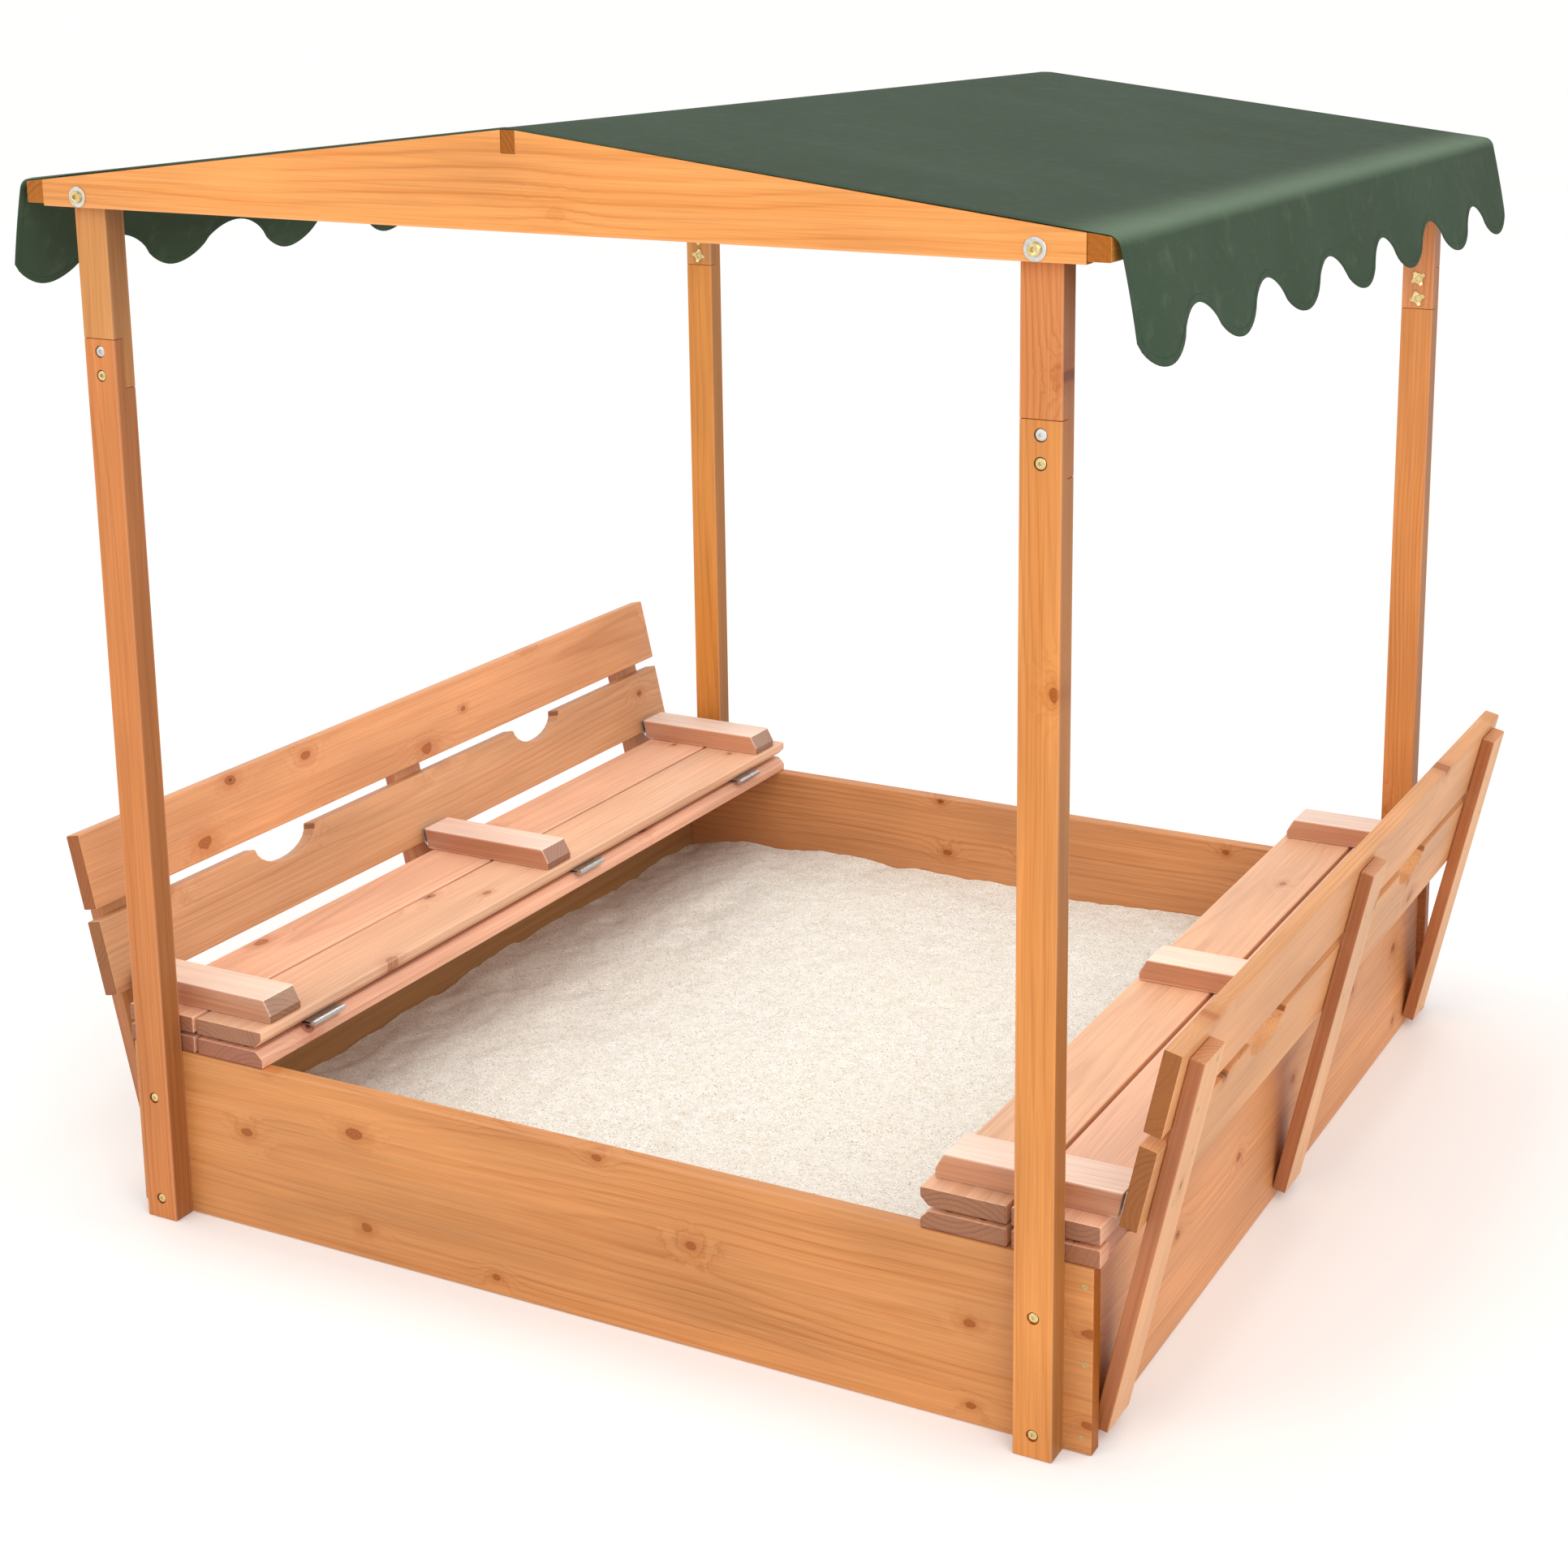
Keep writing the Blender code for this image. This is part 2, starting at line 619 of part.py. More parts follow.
def build_backrest(side_name, side):
    """Two boards and three long braces that bear on the side wall's outer face."""
    pivot = (side * BACK_AXIS_X, 0.0, BACK_AXIS_Z)
    section = backrest_plane(side)
    face = BACKREST_FACE
    rear = face + BOARD_THICKNESS
    start = BACKREST_START
    middle = start + BACKREST_BOARD_WIDTH
    second = middle + BACKREST_BOARD_GAP
    top = second + BACKREST_BOARD_WIDTH

    front_view = Plane(section.origin, section.depth, section.along, section.across)
    outline = [(-BENCH_HALF_LENGTH, start), (BENCH_HALF_LENGTH, start)] + grip_edge(middle)
    bm = prism(outline, front_view, face, rear)
    finish_object(side_name + "_backrest_board_lower", bm, "bench_wood", pivot)
    outline = rectangle(face, rear, second, top)
    bm = prism(outline, section, -BENCH_HALF_LENGTH, BENCH_HALF_LENGTH)
    finish_object(side_name + "_backrest_board_upper", bm, "bench_wood", pivot)

    brace_front = rear + CLEARANCE
    stop_x = SIDE_WALL_OUTER_X + BRACE_WALL_GAP
    across_x = brace_front * math.cos(BACKREST_TILT)
    brace_foot = (stop_x - BACK_AXIS_X - across_x) / math.sin(BACKREST_TILT)
    outline = rectangle(
        brace_front, brace_front + BRACE_THICKNESS, brace_foot, top - BRACE_TOP_INSET
    )
    for rib_name, centre, _ in RIBS:
        near = brace_start(centre)
        bm = prism(outline, section, near, near + BRACE_WIDTH)
        finish_object(side_name + "_backrest_brace_" + rib_name, bm, "bench_wood", pivot)


def build():
    clear_scene()
    build_walls()
    build_sand()
    build_posts()
    build_roof_frame()
    build_canopy()
    for side_name, side in SIDES:
        build_flat_boards(side_name, side)
        build_battens(side_name, side)
        build_seat_hinges(side_name, side)
        build_back_hinges(side_name, side)
        build_backrest(side_name, side)


build()
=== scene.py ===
import colorsys
import json
import math
import random

import bmesh
import bpy
from mathutils import Matrix, Vector, noise


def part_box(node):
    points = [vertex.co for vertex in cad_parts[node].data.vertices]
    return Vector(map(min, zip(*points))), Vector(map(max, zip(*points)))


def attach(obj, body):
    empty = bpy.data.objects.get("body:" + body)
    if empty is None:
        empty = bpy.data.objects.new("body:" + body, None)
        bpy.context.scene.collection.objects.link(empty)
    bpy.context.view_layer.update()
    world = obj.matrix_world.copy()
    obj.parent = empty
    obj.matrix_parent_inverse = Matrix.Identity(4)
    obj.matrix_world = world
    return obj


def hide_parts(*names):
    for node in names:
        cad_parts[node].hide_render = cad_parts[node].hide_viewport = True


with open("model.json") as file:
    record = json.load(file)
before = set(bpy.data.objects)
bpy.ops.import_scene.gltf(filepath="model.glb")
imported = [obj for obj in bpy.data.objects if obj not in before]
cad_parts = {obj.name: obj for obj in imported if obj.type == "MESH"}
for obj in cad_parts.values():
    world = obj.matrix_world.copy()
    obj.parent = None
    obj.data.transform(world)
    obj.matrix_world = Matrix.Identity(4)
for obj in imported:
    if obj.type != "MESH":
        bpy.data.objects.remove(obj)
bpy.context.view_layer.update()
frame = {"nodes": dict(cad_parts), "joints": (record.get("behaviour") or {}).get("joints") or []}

SIDES = (("left", -1), ("right", 1))
ENDS = (("front", -1), ("back", 1))
RIBS = ("front", "middle", "back")
GAP = 0.0003                # clearance between pieces that touch
TILT = math.radians(12.7)   # lean of the backrests


def linear(red, green, blue):
    """An 8-bit display colour as a linear one."""
    def channel(value):
        value /= 255
        return value / 12.92 if value <= 0.04045 else ((value + 0.055) / 1.055) ** 2.4
    return (channel(red), channel(green), channel(blue), 1.0)


def shaded(colour, value=1.0, saturation=1.0, hue=0.0):
    """A linear colour with its value and saturation scaled and its hue turned."""
    h, s, v = colorsys.rgb_to_hsv(*colour[:3])
    red, green, blue = colorsys.hsv_to_rgb((h + hue) % 1, min(1, s * saturation), v * value)
    return (red, green, blue, 1.0)


# Shader graphs -----------------------------------------------------------------------------


class Graph:
    """A material's node tree with short calls for the nodes used here."""

    def __init__(self, name):
        self.material = bpy.data.materials.new(name)
        self.material.use_nodes = True
        self.tree = self.material.node_tree
        self.tree.nodes.clear()
        output = self.tree.nodes.new("ShaderNodeOutputMaterial")
        self.shader = self.tree.nodes.new("ShaderNodeBsdfPrincipled")
        self.tree.links.new(self.shader.outputs["BSDF"], output.inputs["Surface"])
        self.coordinates = self.tree.nodes.new("ShaderNodeTexCoord")

    def put(self, value, socket):
        if isinstance(value, bpy.types.NodeSocket):
            self.tree.links.new(value, socket)
        else:
            socket.default_value = value

    def node(self, kind, **settings):
        made = self.tree.nodes.new(kind)
        for key, value in settings.items():
            setattr(made, key, value)
        return made

    def math(self, operation, first, second=0.5, third=0.5):
        made = self.node("ShaderNodeMath", operation=operation)
        for value, socket in zip((first, second, third), made.inputs):
            self.put(value, socket)
        return made.outputs[0]

    def smooth(self, value, low, high):
        """0 below low, 1 above high, smooth between; low may be the larger."""
        made = self.node("ShaderNodeMapRange", interpolation_type="SMOOTHSTEP")
        flip = low > high
        self.put(value, made.inputs["Value"])
        made.inputs["From Min"].default_value = min(low, high)
        made.inputs["From Max"].default_value = max(low, high)
        made.inputs["To Min"].default_value = 1.0 if flip else 0.0
        made.inputs["To Max"].default_value = 0.0 if flip else 1.0
        return made.outputs["Result"]

    def vector(self, operation, first, second=(0, 0, 0)):
        made = self.node("ShaderNodeVectorMath", operation=operation)
        self.put(first, made.inputs[0])
        self.put(second, made.inputs[1])
        return made.outputs["Value"] if operation in ("LENGTH", "DOT_PRODUCT") else made.outputs[0]

    def combine(self, x, y, z):
        made = self.node("ShaderNodeCombineXYZ")
        for value, socket in zip((x, y, z), made.inputs):
            self.put(value, socket)
        return made.outputs[0]

    def separate(self, vector):
        made = self.node("ShaderNodeSeparateXYZ")
        self.put(vector, made.inputs[0])
        return made.outputs

    def noise(self, vector, scale=1.0, detail=2.0, roughness=0.5, distortion=0.0):
        made = self.node("ShaderNodeTexNoise")
        self.put(vector, made.inputs["Vector"])
        made.inputs["Scale"].default_value = scale
        made.inputs["Detail"].default_value = detail
        made.inputs["Roughness"].default_value = roughness
        made.inputs["Distortion"].default_value = distortion
        return made.outputs["Fac"]

    def mix(self, factor, first, second, blend="MIX"):
        made = self.node("ShaderNodeMix", data_type="RGBA", blend_type=blend)
        self.put(factor, made.inputs["Factor"])
        self.put(first, made.inputs[6])
        self.put(second, made.inputs[7])
        return made.outputs[2]

    def ramp(self, value, stops):
        made = self.node("ShaderNodeValToRGB")
        self.put(value, made.inputs[0])
        elements = made.color_ramp.elements
        while len(elements) < len(stops):
            elements.new(0.5)
        for element, (place, colour) in zip(elements, stops):
            element.position = place
            element.color = colour if len(colour) == 4 else (*colour, 1.0)
        return made.outputs[0]

    def bump(self, height, distance, strength=1.0):
        made = self.node("ShaderNodeBump")
        made.inputs["Strength"].default_value = strength
        made.inputs["Distance"].default_value = distance
        self.put(height, made.inputs["Height"])
        self.put(made.outputs["Normal"], self.shader.inputs["Normal"])


def grey(level):
    return (level, level, level, 1.0)


# Wood --------------------------------------------------------------------------------------

AXES = {"x": Vector((1, 0, 0)), "y": Vector((0, 1, 0)), "z": Vector((0, 0, 1))}

# Stain tones: base, latewood share, end grain value and saturation, ring spacing, gloss.
# All lengths here are in metres.
TONES = {
    "wall": (linear(199, 129, 62), 0.48, 0.60, 1.18, 0.0068, 0.36),
    "flank": (linear(203, 136, 76), 0.42, 0.60, 1.18, 0.0068, 0.46),
    "post": (linear(200, 119, 40), 0.46, 0.62, 1.18, 0.0042, 0.26),
    "roof": (linear(226, 143, 40), 0.56, 0.50, 1.18, 0.0066, 0.30),
    "back": (linear(207, 142, 86), 0.36, 0.46, 1.18, 0.0056, 0.55),
    # seat and batten are paler than back: painted highlight, the sheen on lit top faces put into the
    # base colour
    "seat": (linear(226, 168, 134), 0.34, 0.42, 1.18, 0.0056, 0.55),
    "batten": (linear(238, 204, 184), 0.34, 0.34, 1.75, 0.0056, 0.55),
    "brace": (linear(210, 148, 94), 0.36, 0.88, 1.05, 0.0056, 0.55),
}

# Multipliers of a face's colour: painted shade on the posts' narrow sides, darker narrow sides on the
# braces and battens, and painted shade on the side walls' inner faces under the benches
POST_SIDES_PAINTED_SHADE = (0.56, 0.56, 0.58, 1.0)
BRACE_SIDES = (0.58, 0.38, 0.27, 1.0)
BATTEN_SIDES = (0.60, 0.36, 0.23, 1.0)
UNDER_BENCH_PAINTED_SHADE = (0.56, 0.55, 0.42, 1.0)

KNOT_ROW = 0.082            # spacing of the knots' grid across the grain
KNOT_STRETCH = 0.62         # knots are this much slimmer along the grain than their cells
KNOT_RADIUS = (0.0034, 0.0050)      # smallest, and what chance adds
PITH_DISTANCE = (0.035, 0.075)      # from the board's middle to the centre of its rings
PITH_WANDER = 0.055
KNOT_PUSH = 0.016           # how far a knot pushes the rings aside


def wood(name, tone, grain, wide, low, high, lean=0.0, knots=0.45, knot_cell=0.24, seed=0,
         sides=None, inward=None):
    """Stained softwood as a solid texture: growth rings, fibres, knots, end grain, painted highlights
    on long edges.

    grain and wide are the piece's own axes, low and high its box, lean its turn about Y, sides
    the darkening of its narrow sides (painted shade on the posts) and inward the direction of its face
    that gets painted shade under a bench."""
    rng = random.Random(seed)
    base, contrast, end_value, end_saturation, spacing, gloss = TONES[tone]
    base = shaded(
        base, rng.uniform(0.93, 1.05), rng.uniform(0.95, 1.05), rng.uniform(-0.006, 0.006))
    thick = ({"x", "y", "z"} - {grain, wide}).pop()
    graph = Graph(name + "_wood")
    centre = (low + high) / 2
    placed = graph.node("ShaderNodeMapping", vector_type="TEXTURE")
    graph.put(graph.coordinates.outputs["Object"], placed.inputs["Vector"])
    placed.inputs["Location"].default_value = centre
    placed.inputs["Rotation"].default_value = (0.0, lean, 0.0)
    parts = dict(zip("xyz", graph.separate(placed.outputs[0])))
    along, across, through = parts[grain], parts[wide], parts[thick]
    shift = rng.uniform(-40, 40)
    here = graph.math("ADD", along, shift)

    # Knots: one candidate in each cell of a coarse grid on the wide face
    cell_along, cell_across = knot_cell * rng.uniform(0.9, 1.1), KNOT_ROW
    cells = graph.combine(
        graph.math("DIVIDE", here, cell_along), graph.math("DIVIDE", across, cell_across), 0.0)
    voronoi = graph.node("ShaderNodeTexVoronoi", voronoi_dimensions="2D", feature="F1")
    graph.put(cells, voronoi.inputs["Vector"])
    voronoi.inputs["Scale"].default_value = 1.0
    voronoi.inputs["Randomness"].default_value = 0.85
    offset = graph.vector("SUBTRACT", cells, voronoi.outputs["Position"])
    offset = graph.vector("MULTIPLY", offset, (cell_along * KNOT_STRETCH, cell_across, 0.0))
    lumpy = graph.noise(graph.combine(here, across, 0.0), 90.0, 2.0)
    distance = graph.math(
        "MULTIPLY", graph.vector("LENGTH", offset), graph.math("ADD", lumpy, 0.5))
    pick = graph.separate(voronoi.outputs["Color"])
    present = graph.smooth(pick[0], 1.0 - knots, 1.0 - knots + 0.02)
    radius = graph.math("MULTIPLY_ADD", pick[1], KNOT_RADIUS[1], KNOT_RADIUS[0])
    relative = graph.math("DIVIDE", distance, radius)
    swirl = graph.math("MULTIPLY", graph.math("MULTIPLY", relative, relative), -0.10)
    swirl = graph.math("POWER", 2.718, swirl)
    swirl = graph.math("MULTIPLY", swirl, present)

    # Growth rings round a pith line that lies outside the board
    pith_side = rng.choice((-1, 1))
    slow = graph.noise(graph.combine(
        graph.math("MULTIPLY", here, 1.6), graph.math("MULTIPLY", across, 5.0),
        graph.math("MULTIPLY", through, 5.0)), 1.0, 2.0, 0.45)
    wander = graph.math("SUBTRACT", slow, 0.5)
    a = graph.math("ADD", across, rng.uniform(-0.05, 0.05))
    a = graph.math("MULTIPLY_ADD", wander, PITH_WANDER, a)
    b = graph.math("ADD", through, pith_side * rng.uniform(*PITH_DISTANCE))
    radial = graph.math("ADD", graph.math("MULTIPLY", a, a), graph.math("MULTIPLY", b, b))
    radial = graph.math("SQRT", radial)
    taper = rng.choice((-1, 1)) * rng.uniform(0.008, 0.018)
    radial = graph.math("MULTIPLY_ADD", along, taper, radial)
    radial = graph.math("MULTIPLY_ADD", swirl, KNOT_PUSH, radial)
    fine_wander = graph.noise(graph.combine(
        graph.math("MULTIPLY", here, 9.0), graph.math("MULTIPLY", across, 40.0),
        graph.math("MULTIPLY", through, 40.0)), 1.0, 2.0)
    radial = graph.math("MULTIPLY_ADD", fine_wander, 0.0022, radial)
    phase = graph.math("FRACT", graph.math("DIVIDE", radial, spacing))
    ring = graph.ramp(phase, [
        (0.0, grey(0.55)), (0.10, grey(0.10)), (0.45, grey(0.06)), (0.78, grey(0.45)),
        (0.93, grey(1.0)), (1.0, grey(0.55))])
    uneven = graph.noise(graph.combine(
        graph.math("MULTIPLY", here, 2.2), graph.math("MULTIPLY", radial, 60.0), shift), 1.0, 1.0)
    ring = graph.math("MULTIPLY", ring, graph.smooth(uneven, 0.25, 0.75))

    # Fibres and broad patches of stain
    fibre = graph.noise(graph.combine(
        graph.math("MULTIPLY", here, 7.0), graph.math("MULTIPLY", across, 520.0),
        graph.math("MULTIPLY", through, 520.0)), 1.0, 3.0, 0.6)
    streak = graph.noise(graph.combine(
        graph.math("MULTIPLY", here, 2.0), graph.math("MULTIPLY", across, 95.0),
        graph.math("MULTIPLY", through, 95.0)), 1.0, 2.0, 0.55)
    patch = graph.noise(graph.combine(
        graph.math("MULTIPLY", here, 3.2), graph.math("MULTIPLY", across, 11.0),
        graph.math("MULTIPLY", through, 11.0)), 1.0, 2.0, 0.5)

    early = shaded(base, 1.07, 0.92, 0.004)
    late = shaded(base, 0.60, 1.22, -0.012)
    colour = graph.mix(graph.math("MULTIPLY", ring, contrast), early, late)
    colour = graph.mix(graph.math("MULTIPLY", graph.smooth(streak, 0.35, 0.75), 0.22), colour,
                       shaded(base, 0.80, 1.12, -0.006))
    tint = graph.ramp(patch, [(0.30, grey(0.84)), (0.72, grey(1.10))])
    colour = graph.mix(1.0, colour, tint, "MULTIPLY")
    lines = graph.ramp(fibre, [(0.30, grey(0.86)), (0.62, grey(1.07))])
    colour = graph.mix(1.0, colour, lines, "MULTIPLY")

    # Knots: dark heart, ringed body, warm halo
    halo = graph.math("MULTIPLY", graph.smooth(relative, 3.4, 0.9), present)
    colour = graph.mix(graph.math("MULTIPLY", halo, 0.34), colour, shaded(base, 0.62, 1.25, -0.014))
    body = graph.math("MULTIPLY", graph.smooth(relative, 1.12, 0.85), present)
    knot_ring = graph.math("SINE", graph.math("MULTIPLY", relative, 15.0))
    knot_colour = graph.mix(
        graph.smooth(knot_ring, -1.0, 1.0), shaded(base, 0.40, 1.22, -0.016),
        shaded(base, 0.60, 1.2, -0.012))
    colour = graph.mix(graph.math("MULTIPLY", body, 0.82), colour, knot_colour)
    heart = graph.math("MULTIPLY", graph.smooth(relative, 0.42, 0.12), present)
    heart = graph.math("MULTIPLY", heart, graph.smooth(pick[2], 0.66, 0.72))
    colour = graph.mix(heart, colour, shaded(base, 0.10, 1.0, -0.02))

    # Darker narrow sides: painted shade on the posts, the same darkening on braces and battens
    if sides:
        narrow_side = graph.math("ABSOLUTE", graph.vector(
            "DOT_PRODUCT", graph.coordinates.outputs["Normal"], tuple(AXES[wide])))
        narrow_side = graph.math("MULTIPLY", graph.smooth(narrow_side, 0.70, 0.95),
                          graph.math("MULTIPLY_ADD", streak, 0.3, 0.82))
        colour = graph.mix(narrow_side, colour, graph.mix(1.0, colour, sides, "MULTIPLY"))

    # Painted shade on the side walls' inner faces under the benches
    if inward:
        inside = graph.vector("DOT_PRODUCT", graph.coordinates.outputs["Normal"], inward)
        inside = graph.math("MULTIPLY", graph.smooth(inside, 0.70, 0.95),
                            graph.math("MULTIPLY_ADD", patch, 0.6, 0.55))
        colour = graph.mix(inside, colour, graph.mix(1.0, colour, UNDER_BENCH_PAINTED_SHADE, "MULTIPLY"))

    # End grain soaks up more stain
    turned = Matrix.Rotation(lean, 3, "Y") @ AXES[grain]
    facing = graph.math("ABSOLUTE", graph.vector(
        "DOT_PRODUCT", graph.coordinates.outputs["Normal"], tuple(turned)))
    end = graph.smooth(facing, 0.72, 0.93)
    speckle = graph.noise(graph.coordinates.outputs["Object"], 900.0, 2.0)
    end_colour = graph.mix(
        graph.math("MULTIPLY", ring, 0.8), shaded(base, end_value, end_saturation, -0.008),
        shaded(base, end_value * 0.50, end_saturation, -0.016))
    end_colour = graph.mix(
        1.0, end_colour, graph.ramp(speckle, [(0.3, grey(0.80)), (0.7, grey(1.15))]), "MULTIPLY")
    colour = graph.mix(end, colour, end_colour)

    # Painted highlight: the long edges a little paler
    half = {axis: (getattr(high, axis) - getattr(low, axis)) / 2 for axis in "xyz"}
    if lean == 0.0:
        to_wide = graph.math("SUBTRACT", half[wide], graph.math("ABSOLUTE", across))
        to_thick = graph.math("SUBTRACT", half[thick], graph.math("ABSOLUTE", through))
        edge = graph.smooth(graph.math("MAXIMUM", to_wide, to_thick), 0.0034, 0.0006)
        painted_highlight = graph.math("MULTIPLY", edge, graph.smooth(streak, 0.30, 0.60))
        painted_highlight = graph.math("MULTIPLY", painted_highlight, graph.math("SUBTRACT", 1.0, end))
        colour = graph.mix(
            graph.math("MULTIPLY", painted_highlight, 0.38), colour, shaded(base, 1.22, 0.80, 0.004))

    graph.put(colour, graph.shader.inputs["Base Color"])
    rough = graph.ramp(fibre, [(0.25, grey(0.42)), (0.75, grey(0.56))])
    graph.put(rough, graph.shader.inputs["Roughness"])
    graph.shader.inputs["Specular IOR Level"].default_value = gloss
    relief = graph.math("MULTIPLY_ADD", ring, 0.45, graph.math("MULTIPLY", fibre, 0.7))
    relief = graph.math("MULTIPLY_ADD", body, -0.5, relief)
    graph.bump(relief, 0.00035, 0.55)
    return graph.material


def cover(node, material):
    slots = frame["nodes"][node].data.materials
    slots.clear()
    slots.append(material)


def dress(node, tone, grain, wide, lean=0.0, knots=0.45, knot_cell=0.24, sides=None,
          inward=None):
    """Give a CAD node its own board of wood; its name picks the board."""
    low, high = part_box(node)
    number = sum(ord(letter) * (index + 3) for index, letter in enumerate(node))
    cover(node, wood(
        node, tone, grain, wide, low, high, lean, knots, knot_cell, number, sides, inward))


def dress_all_wood():
    for end, _ in ENDS:
        dress(end + "_wall", "wall", "x", "z", knots=0.5, knot_cell=0.15)
        dress(end + "_gable", "roof", "x", "z", knots=0.18)
        for side, _ in SIDES:
            for part in ("lower", "upper"):
                dress(f"{end}_{side}_post_{part}", "post", "z", "x", knots=0.16, sides=POST_SIDES_PAINTED_SHADE)
    dress("ridge_beam", "post", "y", "z", knots=0.0)
    for side, sign in SIDES:
        dress(side + "_wall", "flank", "y", "z", knots=0.5, knot_cell=0.20,
              inward=(-sign, 0, 0))
        dress(side + "_eave_beam", "roof", "y", "x", knots=0.1)
        for row in ("inner", "outer"):
            dress(f"{side}_base_board_{row}", "seat", "y", "x", knots=0.35)
            dress(f"{side}_seat_board_{row}", "seat", "y", "x", knots=0.42)
        for row in ("lower", "upper"):
            dress(f"{side}_backrest_board_{row}", "back", "y", "z", sign * TILT, knots=0.62)
        for rib in RIBS:
            dress(f"{side}_seat_batten_{rib}", "batten", "x", "y", knots=0.12, sides=BATTEN_SIDES)
            dress(f"{side}_backrest_brace_{rib}", "brace", "z", "y", sign * TILT, knots=0.30,
                  sides=BRACE_SIDES)


# Metal -------------------------------------------------------------------------------------


def metal(name, colour, roughness, yellow=0.0):
    """Zinc plate: faint spangle, uneven gloss, dull spots, a yellow passivated tint if asked."""
    graph = Graph(name)
    place = graph.coordinates.outputs["Object"]
    cloud = graph.noise(place, 160.0, 3.0)
    spots = graph.noise(place, 900.0, 2.0)
    tone = graph.mix(graph.smooth(cloud, 0.3, 0.7), shaded(colour, 0.86), shaded(colour, 1.06))
    if yellow:
        rainbow = graph.noise(place, 420.0, 1.0)
        tone = graph.mix(graph.math("MULTIPLY", graph.smooth(rainbow, 0.35, 0.7), yellow), tone,
                         linear(205, 170, 80))
    tone = graph.mix(graph.math("MULTIPLY", graph.smooth(spots, 0.62, 0.75), 0.30), tone,
                     shaded(colour, 0.55))
    graph.put(tone, graph.shader.inputs["Base Color"])
    graph.shader.inputs["Metallic"].default_value = 1.0
    graph.put(graph.ramp(cloud, [(0.3, grey(roughness * 0.8)), (0.7, grey(roughness * 1.25))]),
              graph.shader.inputs["Roughness"])
    graph.bump(spots, 0.00003, 0.5)
    return graph.material


def new_piece(name, bm, material, body, smooth=30.0):
    bmesh.ops.recalc_face_normals(bm, faces=bm.faces)
    mesh = bpy.data.meshes.new(name)
    bm.to_mesh(mesh)
    bm.free()
    mesh.materials.append(material)
    mesh.shade_smooth()
    mesh.set_sharp_from_angle(angle=math.radians(smooth))
    item = bpy.data.objects.new(name, mesh)
    bpy.context.scene.collection.objects.link(item)
    if body:
        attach(item, body)
    return item


def basis(origin, normal, turn=0.0):
    """A matrix whose Z points along normal, turned about it."""
    facing = Vector(normal).normalized().to_track_quat("Z", "Y").to_matrix().to_4x4()
    return Matrix.Translation(origin) @ facing @ Matrix.Rotation(turn, 4, "Z")


def skin(bm, loops):
    """A closed body over loops of points: a wall between each two, a cap at each end."""
    count = len(loops[0])
    for lower, upper in zip(loops, loops[1:]):
        for step in range(count):
            after = (step + 1) % count
            bm.faces.new((lower[step], lower[after], upper[after], upper[step]))
    bm.faces.new(list(reversed(loops[0])))
    bm.faces.new(loops[-1])


def lathe(bm, place, rings, segments=24):
    """A closed turned body: rings are (radius, height, sides), where sides 6 gives a hexagon
    and 0 a circle."""
    loops = []
    for radius, height, sides in rings:
        loop = []
        for step in range(segments):
            angle = 2 * math.pi * step / segments
            reach = radius
            if sides:
                wedge = 2 * math.pi / sides
                inside = (angle % wedge) - wedge / 2
                reach = radius * math.cos(wedge / 2) / math.cos(inside)
            loop.append(bm.verts.new(place @ Vector((
                reach * math.cos(angle), reach * math.sin(angle), height))))
        loops.append(loop)
    skin(bm, loops)


def socket_bolt(bm, place, radius, height, socket=None):
    """A furniture bolt's round head with a hexagon socket, its underside at the origin."""
    socket = radius * 0.40 if socket is None else socket
    lathe(bm, place, [
        (radius * 0.90, 0.0, 0),
        (radius, 0.12 * height, 0),
        (radius, 0.45 * height, 0),
        (radius * 0.93, 0.80 * height, 0),
        (radius * 0.78, height, 0),
        (socket * 1.12, height, 0),
        (socket, 0.94 * height, 6),
        (socket * 0.96, 0.20 * height, 6),
    ])


def washer(bm, place, radius, hole, thickness):
    lathe(bm, place, [
        (hole, 0.0, 0), (radius * 0.97, 0.0, 0), (radius, thickness * 0.3, 0),
        (radius, thickness * 0.7, 0), (radius * 0.96, thickness, 0), (hole * 1.05, thickness, 0),
    ], 32)


# A screw head's rings: share of its radius, height
SCREW_PROFILE = (
    (0.93, -0.0004), (1.0, 0.0), (0.97, 0.00020), (0.84, 0.00026), (0.55, 0.00026),
    (0.30, 0.00020), (0.10, 0.00012))
FLUTE_DEPTH = 0.0007


def screw(bm, place, radius):
    """A countersunk cross-slot screw head: a low dish with four flutes pressed in."""
    segments = 32
    loops = []
    for share, height in SCREW_PROFILE:
        loop = []
        for step in range(segments):
            angle = 2 * math.pi * step / segments
            flute = max(0.0, math.cos(4 * angle)) ** 3 if share < 0.6 else 0.0
            loop.append(bm.verts.new(place @ Vector((
                share * radius * math.cos(angle), share * radius * math.sin(angle),
                height - FLUTE_DEPTH * flute * (1.0 if share > 0.2 else 0.6)))))
        loops.append(loop)
    skin(bm, loops)


# A prong's outline: share of the nut's radius, height
PRONG = (
    (0.52, 0.0), (0.78, 0.0), (1.0, 0.0006), (1.04, 0.0013), (0.98, 0.0018), (0.74, 0.0012),
    (0.52, 0.0011))


def pronged_nut(bm, place, radius):
    """A T-nut: thin flange, open barrel and four prongs bent over the flange's corners."""
    barrel = radius * 0.34
    lathe(bm, place, [
        (radius * 0.60, 0.0, 0), (radius * 0.66, 0.0003, 0), (radius * 0.66, 0.0011, 0),
        (barrel * 1.5, 0.0013, 0), (barrel * 1.35, 0.0022, 0), (barrel, 0.0022, 0),
        (barrel * 0.9, 0.0002, 0),
    ])
    for quarter in range(4):
        turn = place @ Matrix.Rotation(math.pi / 2 * quarter + math.pi / 4, 4, "Z")
        near, far = [], []
        for share, height in PRONG:
            width = radius * (0.27 if share < 0.8 else 0.20)
            near.append(bm.verts.new(turn @ Vector((share * radius, -width, height))))
            far.append(bm.verts.new(turn @ Vector((share * radius, width, height))))
        skin(bm, [near, far])


